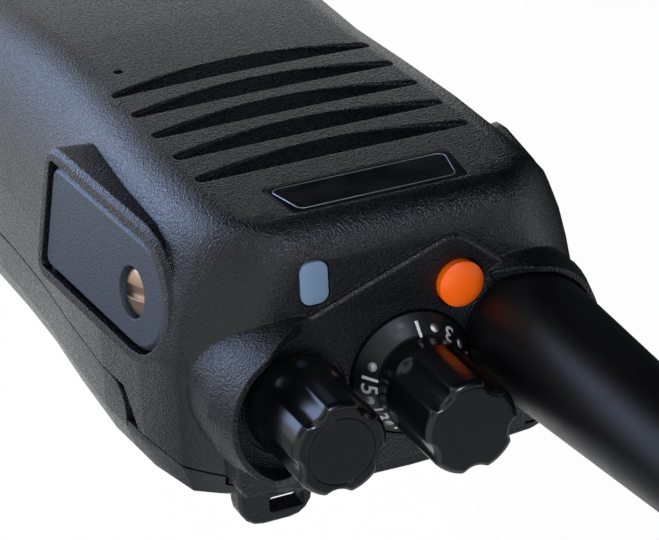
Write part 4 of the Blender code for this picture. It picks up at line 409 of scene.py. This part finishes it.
knob_tree, given = start_tree("scallops", [
    ("Axis", "Vector"), ("Phase", "Float"), ("Scallops", "Int"), ("Radius", "Float"),
    ("Cutter", "Float"), ("Depth", "Float"), ("Foot", "Float"), ("Core", "Float"),
    ("Softness", "Float"), ("Material", "Material")])
math_node = "ShaderNodeMath"
FULL_PULL = 0.8
spot = add(knob_tree, "GeometryNodeInputPosition")
local = add(knob_tree, "ShaderNodeVectorMath", {0: spot, 1: given["Axis"]}, operation="SUBTRACT")
x = add(knob_tree, "ShaderNodeSeparateXYZ", {0: local})
y, z = x.node.outputs[1], x.node.outputs[2]
angle = add(knob_tree, math_node, {0: y, 1: x}, operation="ARCTAN2")
angle = add(knob_tree, math_node, {0: angle, 1: given["Phase"]}, operation="SUBTRACT")
half = add(knob_tree, math_node, {0: math.pi, 1: given["Scallops"]}, operation="DIVIDE")
minus = add(knob_tree, math_node, {0: half, 1: -1}, operation="MULTIPLY")
fold = add(knob_tree, math_node, {0: angle, 1: half, 2: minus}, operation="WRAP")
reach = add(knob_tree, math_node, {0: given["Radius"], 1: given["Depth"]}, operation="SUBTRACT")
reach = add(knob_tree, math_node, {0: reach, 1: given["Cutter"]}, operation="ADD")
drop = add(knob_tree, math_node, {0: given["Foot"], 1: z}, operation="SUBTRACT")
drop = add(knob_tree, math_node, {0: drop, 1: 0.0}, operation="MAXIMUM")
drop = add(knob_tree, math_node, {0: drop, 1: 2.0}, operation="POWER")
sine = add(knob_tree, math_node, {0: fold}, operation="SINE")
side = add(knob_tree, math_node, {0: sine, 1: reach}, operation="MULTIPLY")
side = add(knob_tree, math_node, {0: side, 1: side}, operation="MULTIPLY")
room = add(knob_tree, math_node, {0: given["Cutter"], 1: 2.0}, operation="POWER")
room = add(knob_tree, math_node, {0: room, 1: drop}, operation="SUBTRACT")
room = add(knob_tree, math_node, {0: room, 1: side}, operation="SUBTRACT")
spill = add(knob_tree, math_node, {0: room, 1: -1.0}, operation="MULTIPLY")
spill = add(knob_tree, math_node, {0: spill, 1: 0.0}, operation="MAXIMUM")
spill = add(knob_tree, math_node, {0: spill}, operation="SQRT")
room = add(knob_tree, math_node, {0: room, 1: 0.0}, operation="MAXIMUM")
room = add(knob_tree, math_node, {0: room}, operation="SQRT")
cosine = add(knob_tree, math_node, {0: fold}, operation="COSINE")
surface = add(knob_tree, math_node, {0: cosine, 1: reach}, operation="MULTIPLY")
surface = add(knob_tree, math_node, {0: surface, 1: room}, operation="SUBTRACT")
surface = add(knob_tree, math_node, {0: surface, 1: spill}, operation="ADD")
edge = add(knob_tree, math_node, {0: given["Radius"], 1: surface, 2: given["Softness"]},
           operation="SMOOTH_MIN")
ratio = add(knob_tree, math_node, {0: edge, 1: given["Radius"]}, operation="DIVIDE")
flat = add(knob_tree, "ShaderNodeVectorMath", {0: local, 1: (1, 1, 0)}, operation="MULTIPLY")
radius = add(knob_tree, "ShaderNodeVectorMath", {0: flat}, out=1, operation="LENGTH")
share = add(knob_tree, "ShaderNodeMapRange",
            {"Value": radius, "From Min": given["Core"], "From Max": given["Radius"]},
            interpolation_type="SMOOTHSTEP")
factor = add(knob_tree, "ShaderNodeMapRange",
             {"Value": share, "From Min": 0.0, "From Max": FULL_PULL, "To Min": 1.0, "To Max": ratio})
pulled = add(knob_tree, "ShaderNodeCombineXYZ", {0: factor, 1: factor, 2: 1.0})
pulled = add(knob_tree, "ShaderNodeVectorMath", {0: local, 1: pulled}, operation="MULTIPLY")
pulled = add(knob_tree, "ShaderNodeVectorMath", {0: pulled, 1: given["Axis"]}, operation="ADD")
moved = add(knob_tree, "GeometryNodeSetPosition", {0: given["Geometry"], "Position": pulled})
end_tree(knob_tree, moved, given["Material"])
print("scallop tree:", len(knob_tree.nodes), "nodes")

# %% Two knobs from one rule
KNOB_EDGE = 0.9 * MM
KNOB_R = 5.7 * MM
SKIRT_H = 2.2 * MM
SCALLOPS = 5
SCALLOP_CUTTER = 2.5 * MM
SCALLOP_DEPTH = 0.75 * MM
SCALLOP_FOOT = 2.0 * MM
SCALLOP_SOFTNESS = 0.4 * MM
TOP_GROOVE_HALF_W = 0.16 * MM


def make_knob(name, height, skirt_r, phase, groove_r):
    """A turned blank as tall as height, with its scallops; groove_r is zero for a plain top."""
    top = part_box(name)[1].z
    at = middle(name)
    foot = top - height
    skirt_top = foot + SKIRT_H
    shoulder = skirt_top + KNOB_EDGE / 2
    profile = [(0, top)]
    if groove_r:
        half_w = TOP_GROOVE_HALF_W
        profile += [(groove_r - half_w, top), (groove_r - half_w / 2, top - half_w),
                    (groove_r + half_w / 2, top - half_w), (groove_r + half_w, top)]
    profile += line((groove_r or KNOB_R / 2, top), (KNOB_R - KNOB_EDGE, top), 5)[1:]
    profile += arc((KNOB_R - KNOB_EDGE, top - KNOB_EDGE), KNOB_EDGE, 90, 0, 8)
    profile += line((KNOB_R, top - KNOB_EDGE), (KNOB_R, shoulder), 36)
    profile += [(KNOB_R, shoulder)]
    profile += line((KNOB_R, shoulder), (skirt_r, skirt_top - KNOB_EDGE), 6)
    profile += [(skirt_r, skirt_top - KNOB_EDGE), (skirt_r, foot + KNOB_EDGE / 2)]
    profile += arc((skirt_r - KNOB_EDGE / 2, foot + KNOB_EDGE / 2), KNOB_EDGE / 2, 0, -90, 4)
    profile += [(0, foot)]
    knob = turned(name + "_scalloped", profile, at)
    run_tree(knob, knob_tree, {
        "Axis": at, "Phase": math.radians(phase), "Scallops": SCALLOPS, "Radius": KNOB_R,
        "Cutter": SCALLOP_CUTTER, "Depth": SCALLOP_DEPTH, "Foot": skirt_top - at.z + SCALLOP_FOOT,
        "Core": groove_r * 1.02 or KNOB_R / 2, "Softness": SCALLOP_SOFTNESS, "Material": knob_plastic})
    carry(knob, name, knob_plastic, name)
    knob.data.set_sharp_from_angle(angle=CREASE)
    print(name, "top at %.1f mm" % (top / MM))


make_knob("volume_knob", height=12.7 * MM, skirt_r=6.1 * MM, phase=13, groove_r=4.0 * MM)
make_knob("channel_knob", height=13.1 * MM, skirt_r=5.5 * MM, phase=21, groove_r=0)

# %% [markdown]
# ## The antenna
# A stub antenna is a wound radiator overmoulded with elastomer. Its sleeve flares where it
# seats on the case, narrows for half its length and ends in a blunt tip. It is spun again here
# from the solid's own sizes with a soft curve instead of straight cones.

# %% Antenna sleeve
ANTENNA_FOOT_R = 7.7 * MM
ANTENNA_WAIST_R = 5.2 * MM
ANTENNA_TIP_R = 4.2 * MM
ANTENNA_WAIST_L = 50 * MM
ANTENNA_LIP = 2.7 * MM
ANTENNA_LIP_EDGE = 0.4 * MM
antenna_low, antenna_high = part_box("antenna")
antenna_at = middle("antenna")
foot = antenna_low.z
waist = foot + ANTENNA_WAIST_L
tip_edge = ANTENNA_TIP_R / 2
tip_foot = antenna_high.z - tip_edge
sleeve = [(0, antenna_high.z)]
sleeve += arc((ANTENNA_TIP_R - tip_edge, tip_foot), tip_edge, 90, 0, 8)
sleeve += line((ANTENNA_TIP_R, tip_foot), (ANTENNA_WAIST_R, waist), 8)
sleeve += line((ANTENNA_WAIST_R, waist), (ANTENNA_FOOT_R, foot + ANTENNA_LIP), 24)
sleeve += arc((ANTENNA_FOOT_R - ANTENNA_LIP_EDGE, foot + ANTENNA_LIP_EDGE), ANTENNA_LIP_EDGE, 0, -90, 4)
sleeve += [(0, foot)]
antenna = turned("antenna_sleeve", sleeve, antenna_at)
carry(antenna, "radio", antenna_rubber, "antenna")
print("antenna %.0f mm long" % ((antenna_high.z - foot) / MM))

# %% [markdown]
# ## The dial ring
# A cone around the channel knob's shaft carries sixteen channel marks, clipped where the
# antenna's foot needs room. Odd channels have their number and even ones a dot, pad-printed in
# white. The numbers stand with their tops towards the knob. Each is made as text, turned into a
# mesh, and wrapped on the cone by its own coordinates: across becomes angle, up becomes slant.

# %% A fine cone, clipped by the antenna
DIAL_R = 7.5 * MM
DIAL_TOP_R = 5.7 * MM
DIAL_BORE_R = 4.9 * MM
DIAL_LIFT = 0.2 * MM
DIAL_CHAMFER = 0.1 * MM
ANTENNA_ROOM_R = 8.0 * MM
ANTENNA_ROOM_LIFT = 0.14 * MM
dial_at = Vector(JOINTS["channel_turn"]["pos_m"])
deck = dial_at.z
dial_foot = deck + DIAL_LIFT
dial_low, dial_high = (corner.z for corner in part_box("dial_ring"))
cone_run = Vector((DIAL_TOP_R - DIAL_R, dial_high - dial_foot)).normalized()
ring_profile = [(DIAL_BORE_R, dial_high), (DIAL_TOP_R - DIAL_CHAMFER, dial_high),
                (DIAL_TOP_R, dial_high - DIAL_CHAMFER / 2), (DIAL_R, dial_foot), (DIAL_R, dial_low),
                (DIAL_BORE_R, dial_low), (DIAL_BORE_R, dial_high)]
ring = turned("dial_cone", ring_profile, dial_at)
bm = bmesh.new()
bm.from_mesh(ring.data)
bmesh.ops.remove_doubles(bm, verts=bm.verts, dist=WELD_GAP)
bmesh.ops.recalc_face_normals(bm, faces=bm.faces)
bm.to_mesh(ring.data)
bm.free()
room_low, room_high = deck + ANTENNA_ROOM_LIFT, dial_high + MM
room = turned("antenna_room", [(0, room_high), (ANTENNA_ROOM_R, room_high), (ANTENNA_ROOM_R, room_low),
                               (0, room_low)], antenna_at)
cut_away(ring, room)
carry(ring, "radio", dial_plastic, "dial_ring")
ring.data.set_sharp_from_angle(angle=CREASE)
print("dial %.1f mm across" % (2 * DIAL_R / MM))

# %% Numbers wrapped on the cone
MARKS = 16
FIRST_MARK = -93
MARK_STEP = -19.53
MARK_R = 6.2 * MM
DIGIT_SIZE = 2.9 * MM
DIGIT_WEIGHT = DIGIT_SIZE / 70
DIGIT_SPACING = 0.92
INK_T = 0.03 * MM


def on_cone(angle, across, up, lift):
    """A point on the dial's cone, from its place on a flat drawing of one mark."""
    radius = MARK_R + up * cone_run.x
    height = dial_foot + (MARK_R - DIAL_R) / cone_run.x * cone_run.y + up * cone_run.y
    turn_to = math.radians(angle) + across / MARK_R
    out = radius + lift * cone_run.y
    return Vector((dial_at.x + out * math.cos(turn_to), dial_at.y + out * math.sin(turn_to),
                   height - lift * cone_run.x))


def make_number(number, angle):
    """One printed number, wrapped on the cone at an angle in degrees."""
    font = bpy.data.curves.new("channel_%d" % number, "FONT")
    font.body = str(number)
    font.size = DIGIT_SIZE
    font.align_x = "CENTER"
    font.align_y = "CENTER"
    font.offset = DIGIT_WEIGHT
    font.extrude = INK_T / 2
    font.resolution_u = 4
    font.space_character = DIGIT_SPACING
    text = bpy.data.objects.new(font.name, font)
    scene.collection.objects.link(text)
    mesh = bpy.data.meshes.new_from_object(text.evaluated_get(bpy.context.evaluated_depsgraph_get()))
    bpy.data.objects.remove(text)
    for vert in mesh.vertices:
        vert.co = on_cone(angle, vert.co.x, vert.co.y, vert.co.z + INK_T / 2)
    piece = bpy.data.objects.new("channel_mark_%d" % number, mesh)
    scene.collection.objects.link(piece)
    return carry(piece, "radio", print_ink)


for mark in range(0, MARKS, 2):
    make_number(mark + 1, FIRST_MARK + MARK_STEP * mark)
print("numbers on the dial:", MARKS // 2)

# %% [markdown]
# ## Rows of small things
# The dots between the numbers and the grip grooves in the talk bar are each one small shape
# repeated along a path. One node tree serves them: it puts a copy of its input shape on
# each of a number of stations, stepping along a line and turning about an axis as it goes.

# %% A tree that repeats a shape
row_tree, given = start_tree("row", [
    ("Count", "Int"), ("Centre", "Vector"), ("Step", "Vector"), ("Turn Step", "Float"),
    ("Material", "Material")])
stations = add(row_tree, "GeometryNodeMeshLine", {"Count": given["Count"], "Offset": (0, 0, 0)})
index = add(row_tree, "GeometryNodeInputIndex")
along = add(row_tree, "ShaderNodeVectorMath", {0: given["Step"], "Scale": index}, operation="SCALE")
spots = add(row_tree, "GeometryNodeSetPosition", {0: stations, "Position": (0, 0, 0), "Offset": along})
turning = add(row_tree, "ShaderNodeMath", {0: index, 1: given["Turn Step"]}, operation="MULTIPLY")
turning = add(row_tree, "ShaderNodeCombineXYZ", {2: turning})
back = add(row_tree, "ShaderNodeVectorMath", {0: given["Centre"], "Scale": -1.0}, operation="SCALE")
pivoted = add(row_tree, "GeometryNodeTransform", {0: given["Geometry"], "Translation": back})
copies = add(row_tree, "GeometryNodeInstanceOnPoints", {0: spots, "Instance": pivoted, "Rotation": turning})
home = add(row_tree, "GeometryNodeTransform", {0: copies, "Translation": given["Centre"]})
end_tree(row_tree, home, given["Material"])
print("row tree:", len(row_tree.nodes), "nodes")


def small_solid(name, corners, normal, thickness):
    """A flat outline given thickness along its normal."""
    bm = bmesh.new()
    face = bm.faces.new([bm.verts.new(corner) for corner in corners])
    raised = bmesh.ops.extrude_face_region(bm, geom=[face])
    verts = [item for item in raised["geom"] if isinstance(item, bmesh.types.BMVert)]
    bmesh.ops.translate(bm, vec=Vector(normal) * thickness, verts=verts)
    bmesh.ops.recalc_face_normals(bm, faces=bm.faces)
    mesh = bpy.data.meshes.new(name)
    bm.to_mesh(mesh)
    bm.free()
    obj = bpy.data.objects.new(name, mesh)
    scene.collection.objects.link(obj)
    return obj


# %% Dots between the numbers
DOT_R = 0.55 * MM
DOT_SIDES = 16
dot_angle = FIRST_MARK + MARK_STEP
dot_outline = [on_cone(dot_angle, DOT_R * math.cos(math.tau * i / DOT_SIDES),
                       DOT_R * math.sin(math.tau * i / DOT_SIDES), 0) for i in range(DOT_SIDES)]
outward = (on_cone(dot_angle, 0, 0, MM) - on_cone(dot_angle, 0, 0, 0)).normalized()
dots = small_solid("channel_dots", dot_outline, outward, INK_T)
run_tree(dots, row_tree, {"Count": MARKS // 2, "Centre": dial_at, "Turn Step": math.radians(2 * MARK_STEP),
                          "Material": print_ink})
carry(dots, "radio", print_ink)

# %% Grip grooves across the talk bar
GROOVE_W = 0.7 * MM
GROOVE_D = 0.3 * MM
GROOVE_PITCH = 1.6 * MM
GROOVES = 7
GROOVE_END = 2.4 * MM
bar_low, bar_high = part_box("ptt_button")
groove_low = (bar_low.z + bar_high.z - GROOVE_PITCH * (GROOVES - 1) - GROOVE_W) / 2
groove_out = bar_low.x - GROOVE_D
groove_corners = [(groove_out, y, z) for y, z in (
    (bar_low.y + GROOVE_END, groove_low), (bar_high.y - GROOVE_END, groove_low),
    (bar_high.y - GROOVE_END, groove_low + GROOVE_W), (bar_low.y + GROOVE_END, groove_low + GROOVE_W))]
grooves = small_solid("talk_bar_grooves", groove_corners, (1, 0, 0), 2 * GROOVE_D)
run_tree(grooves, row_tree, {"Count": GROOVES, "Step": Vector((0, 0, GROOVE_PITCH)),
                             "Material": key_rubber})
bar = bpy.data.objects.new("talk_bar_grooved", NODES["ptt_button"].data.copy())
scene.collection.objects.link(bar)
bar.matrix_world = NODES["ptt_button"].matrix_world
weld = bar.modifiers.new("weld", "WELD")
weld.merge_threshold = WELD_GAP
cut_away(bar, grooves)
carry(bar, "ptt_button", key_rubber, "ptt_button")
bar.data.set_sharp_from_angle(angle=CREASE)
print("grooves in the talk bar:", GROOVES)

# %% [markdown]
# ## Nameplate border
# The plate under the brow is bare lacquered aluminium here, with the thin bright line that its
# edge shows where the lacquer stops. The line is a fine tube laid round just inside the edge.

# %% Border on the plate
BORDER_IN = 0.7 * MM
BORDER_R = 0.07 * MM
BORDER_CORNER = 1.0 * MM
BORDER_STEPS = 6
PLATE_SLANT = 0.9 * MM
PLATE_T = 0.4 * MM
plate_low, plate_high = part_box("nameplate")
plate_lean = (plate_high.y - plate_low.y - PLATE_T) / (plate_high.z - plate_low.z)
half_low = (plate_high.x - plate_low.x) / 2 - BORDER_IN
half_top = half_low - PLATE_SLANT
z_low, z_top = plate_low.z + BORDER_IN, plate_high.z - BORDER_IN
border = []
for centre_x, centre_z, first in ((half_low, z_low, -90), (half_top, z_top, 0), (-half_top, z_top, 90),
                                  (-half_low, z_low, 180)):
    across = math.copysign(BORDER_CORNER, centre_x)
    rise = math.copysign(BORDER_CORNER, centre_z - (z_low + z_top) / 2)
    border += arc((centre_x - across, centre_z - rise), BORDER_CORNER, first, first + 90, BORDER_STEPS)
curve = bpy.data.curves.new("plate_border", "CURVE")
curve.dimensions = "3D"
curve.bevel_depth = BORDER_R
curve.bevel_resolution = 1
spline = curve.splines.new("POLY")
spline.points.add(len(border) - 1)
for point, (across, height) in zip(spline.points, border):
    point.co = (across, plate_low.y + (height - plate_low.z) * plate_lean, height, 1)
spline.use_cyclic_u = True
border_line = bpy.data.objects.new("nameplate_border", curve)
scene.collection.objects.link(border_line)
mesh = bpy.data.meshes.new_from_object(border_line.evaluated_get(bpy.context.evaluated_depsgraph_get()))
bpy.data.objects.remove(border_line)
border_line = bpy.data.objects.new("nameplate_border", mesh)
scene.collection.objects.link(border_line)
carry(border_line, "radio", steel)
print("border points:", len(border))

# %% [markdown]
# ## The coin screw
# The cover's screw has a domed head with a broad slot for a coin. Its head is spun from a
# profile, cut by a long box with a Boolean, and laid on the cover's tilted plane. Plated brass
# that hands and coins have rubbed is warm at the edges of the plating.

# %% Domed head with a coin slot
COIN_R = 2.9 * MM
COIN_DOME = 0.5 * MM
COIN_DOME_POWER = 2.5
COIN_DOME_STEPS = 12
COIN_EDGE = 0.125 * MM
COIN_H = 1.1 * MM
COIN_SLOT_HALF_W = 0.8 * MM
COIN_SLOT_FLOOR = -0.75 * COIN_H
COIN_SLOT_TURN = math.radians(98)
COIN_SIDES = 96
coin_profile = [(COIN_R * i / COIN_DOME_STEPS, -COIN_DOME * (i / COIN_DOME_STEPS) ** COIN_DOME_POWER)
                for i in range(COIN_DOME_STEPS)]
coin_profile += arc((COIN_R - COIN_EDGE, -COIN_DOME - COIN_EDGE), COIN_EDGE, 80, 0, 4)
coin_profile += [(COIN_R, -COIN_H), (0, -COIN_H)]
coin = turned("coin_head", coin_profile, (0, 0, 0), steps=COIN_SIDES)
blade = small_solid("coin_blade", [(x, y, COIN_SLOT_FLOOR) for x, y in (
    (-COIN_R * 2, -COIN_SLOT_HALF_W), (COIN_R * 2, -COIN_SLOT_HALF_W), (COIN_R * 2, COIN_SLOT_HALF_W),
    (-COIN_R * 2, COIN_SLOT_HALF_W))], (0, 0, 1), COIN_H)
cut_away(coin, blade)
coin_at = Vector(JOINTS["coin_screw_turn"]["pos_m"])
coin_axis = Vector(JOINTS["coin_screw_turn"]["axis"])
across = Vector((0, 1, 0))
across = (across - coin_axis * across.dot(coin_axis)).normalized()
lay = Matrix((across, coin_axis.cross(across), coin_axis)).transposed()
lay = lay @ Matrix.Rotation(COIN_SLOT_TURN, 3, "Z")
coin.data.transform(Matrix.Translation(coin_at) @ lay.to_4x4())
carry(coin, "coin_screw", coin_bronze, "coin_screw")
coin.data.set_sharp_from_angle(angle=CREASE)
print("coin screw %.1f mm across" % (2 * COIN_R / MM))

# %% [markdown]
# ## Driver recesses
# The clip's two screws are hidden behind the clip but show from the side. Their cross recesses
# are not cut: each is painted shade, a dark cross a few hundredths of a millimetre proud of the head.

# %% Painted shade of the cross recesses on the clip screws
CROSS_ARM = 1.0 * MM
CROSS_HALF_W = 0.175 * MM
corner = [(CROSS_ARM, CROSS_HALF_W), (CROSS_HALF_W, CROSS_HALF_W), (CROSS_HALF_W, CROSS_ARM)]
cross_outline = []
for quarter in range(4):
    cross_outline += corner
    corner = [(-v, u) for u, v in corner]
for name in ("clip_screw_lower", "clip_screw_upper"):
    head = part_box(name)[1].y
    at = middle(name)
    # Painted shade: a dark cross proud of the head stands in for the shaded recess.
    cross = small_solid(name + "_recess", [(at.x + u, head, at.z + v) for u, v in cross_outline],
                        (0, 1, 0), INK_T)
    carry(cross, "battery", recess_shade)

# %% [markdown]
# ## Floor and light
# The radio stands on white paper. Black plastic gives back little light of its own: what the
# eye reads is what each surface mirrors. Floor and world answer camera, glossy and transmission
# rays with plain white, so the background reads white without putting more light on the radio.
# Cards that the camera doesn't see cut that white down, as a photographer's flags do: black
# ones before the face and the brow, and dim grey ones above the deck, behind the radio and
# beside it.

# %% World and floor
AMBIENT = 0.4
SHADOW_SHARE = 0.02
FLOOR_HALF = 2.0


def plain_light_share(tree):
    """One for camera, glossy and transmission rays, which see plain white, else zero."""
    path = add(tree, "ShaderNodeLightPath")
    seen = path
    for ray in ("Is Glossy Ray", "Is Transmission Ray"):
        seen = add(tree, "ShaderNodeMath", {0: seen, 1: path.node.outputs[ray]}, operation="MAXIMUM")
    return seen


def sheet(name, corners, material):
    """A flat four-cornered piece of the set."""
    mesh = bpy.data.meshes.new(name)
    mesh.from_pydata(corners, [], [(0, 1, 2, 3)])
    mesh.materials.append(material)
    obj = bpy.data.objects.new(name, mesh)
    scene.collection.objects.link(obj)
    return obj


scene.view_settings.view_transform = "Standard"
world = bpy.data.worlds.new("studio")
scene.world = world
world.use_nodes = True
tree = world.node_tree
level = add(tree, "ShaderNodeMapRange", {"Value": plain_light_share(tree), "To Min": AMBIENT, "To Max": 1.0})
background = tree.nodes["Background"]
background.inputs["Color"].default_value = (1, 1, 1, 1)
tree.links.new(level, background.inputs["Strength"])

paper, tree, shader = start_material("white_paper", "F4F4F4", 0.9, specular=0.1)
share = add(tree, "ShaderNodeMath", {0: plain_light_share(tree), 1: 1 - SHADOW_SHARE}, operation="MULTIPLY")
glow = add(tree, "ShaderNodeEmission", {"Color": (1, 1, 1, 1), "Strength": 1.0})
mixed = add(tree, "ShaderNodeMixShader", {0: share, 1: shader.outputs[0], 2: glow})
tree.links.new(mixed, tree.nodes["Material Output"].inputs["Surface"])
sheet("floor", [(x * FLOOR_HALF, y * FLOOR_HALF, 0) for x, y in ((-1, -1), (1, -1), (1, 1), (-1, 1))], paper)
print("floor %.0f m across" % (2 * FLOOR_HALF))

# %% [markdown]
# Each card lies in a plane across X, Y or Z. The table gives the plane's place, the card's own
# dim light, where it has one, and its outline in the plane's two other directions, in metres.

# %% Cards
CARD_TINT = "E6EEFF"
CARDS = (
    ("floor_flag", "Z", 0.002, 0, ((-0.6, -0.6), (0.10, -0.6), (0.04, -0.066), (-0.6, -0.066))),
    ("front_flag", "Y", -0.6, 0, ((-1.3, 0), (0.05, 0), (0.05, 1.1), (-1.3, 1.1))),
    ("ceiling_card", "Z", 0.75, 0.5, ((-0.8, -0.2), (0.15, -0.2), (0.15, 0.9), (-0.8, 0.9))),
    ("back_card_right", "Z", 0.001, 0.36, ((0.06, 0.02), (0.6, 0.02), (0.6, 0.6), (0.06, 0.6))),
    ("back_card_left", "Z", 0.001, 0.04, ((-0.7, -0.066), (-0.09, -0.066), (0, 0.6), (-0.7, 0.6))),
    ("face_card", "Z", 0.001, 0.38, ((-0.09, -0.066), (0.04, -0.066), (0.04, -0.042), (-0.09, -0.042))),
    ("side_card", "X", 0.6, 0.3, ((-0.8, 0.1), (-0.15, 0.1), (-0.15, 0.6), (-0.8, 0.6))),
)


def card_stock(name, level):
    """Black velvet, or grey card that gives back a little even light."""
    if not level:
        return start_material("black_velvet_card", "050505", 0.95, specular=0.05)[0]
    material, tree, shader = start_material("grey_" + name, "000000", 1.0, specular=0)
    shader.inputs["Emission Color"].default_value = srgb(CARD_TINT)
    shader.inputs["Emission Strength"].default_value = level
    return material


for name, axis, offset, level, outline in CARDS:
    place = "XYZ".index(axis)
    corners = [(*point[:place], offset, *point[place:]) for point in outline]
    sheet(name, corners, card_stock(name, level)).visible_camera = False
print("cards:", len(CARDS))

# %% [markdown]
# Three lamps do the rest. A bluish one lies on the paper at the accessory side and makes the
# edge above it glow. A broad one overhead, which nothing mirrors, brings out the button, the
# window and the numbers. A small one before the brow lights nothing but the leather grain's
# glints.

# %% Lamps
def area_light(name, at, aim, size, power, colour, mirrored=True, spread=True):
    """A square lamp; mirrored lets shiny surfaces show it, spread lets it light matt ones."""
    data = bpy.data.lights.new(name, "AREA")
    data.size = size
    data.energy = power
    data.color = srgb(colour)[:3]
    lamp = bpy.data.objects.new(name, data)
    scene.collection.objects.link(lamp)
    lamp.location = at
    lamp.rotation_mode = "QUATERNION"
    lamp.rotation_quaternion = (Vector(aim) - Vector(at)).to_track_quat("-Z", "Y")
    lamp.visible_camera = False
    lamp.visible_glossy = mirrored
    lamp.visible_diffuse = spread
    print(name, "%.2f W" % power)


area_light("table_glow", at=(0.095, -0.070, 0.004), aim=(0.095, -0.070, 1), size=0.105, power=0.165,
           colour="A8C8FF")
area_light("deck_light", at=(0.45, -0.15, 0.7), aim=(0, 0, 0.12), size=0.5, power=6, colour="F4F8FF",
           mirrored=False)
area_light("glint_light", at=(-0.02, -0.5, 0.50), aim=(0, -0.015, 0.12), size=0.07, power=1.4,
           colour="DCE9FF", spread=False)
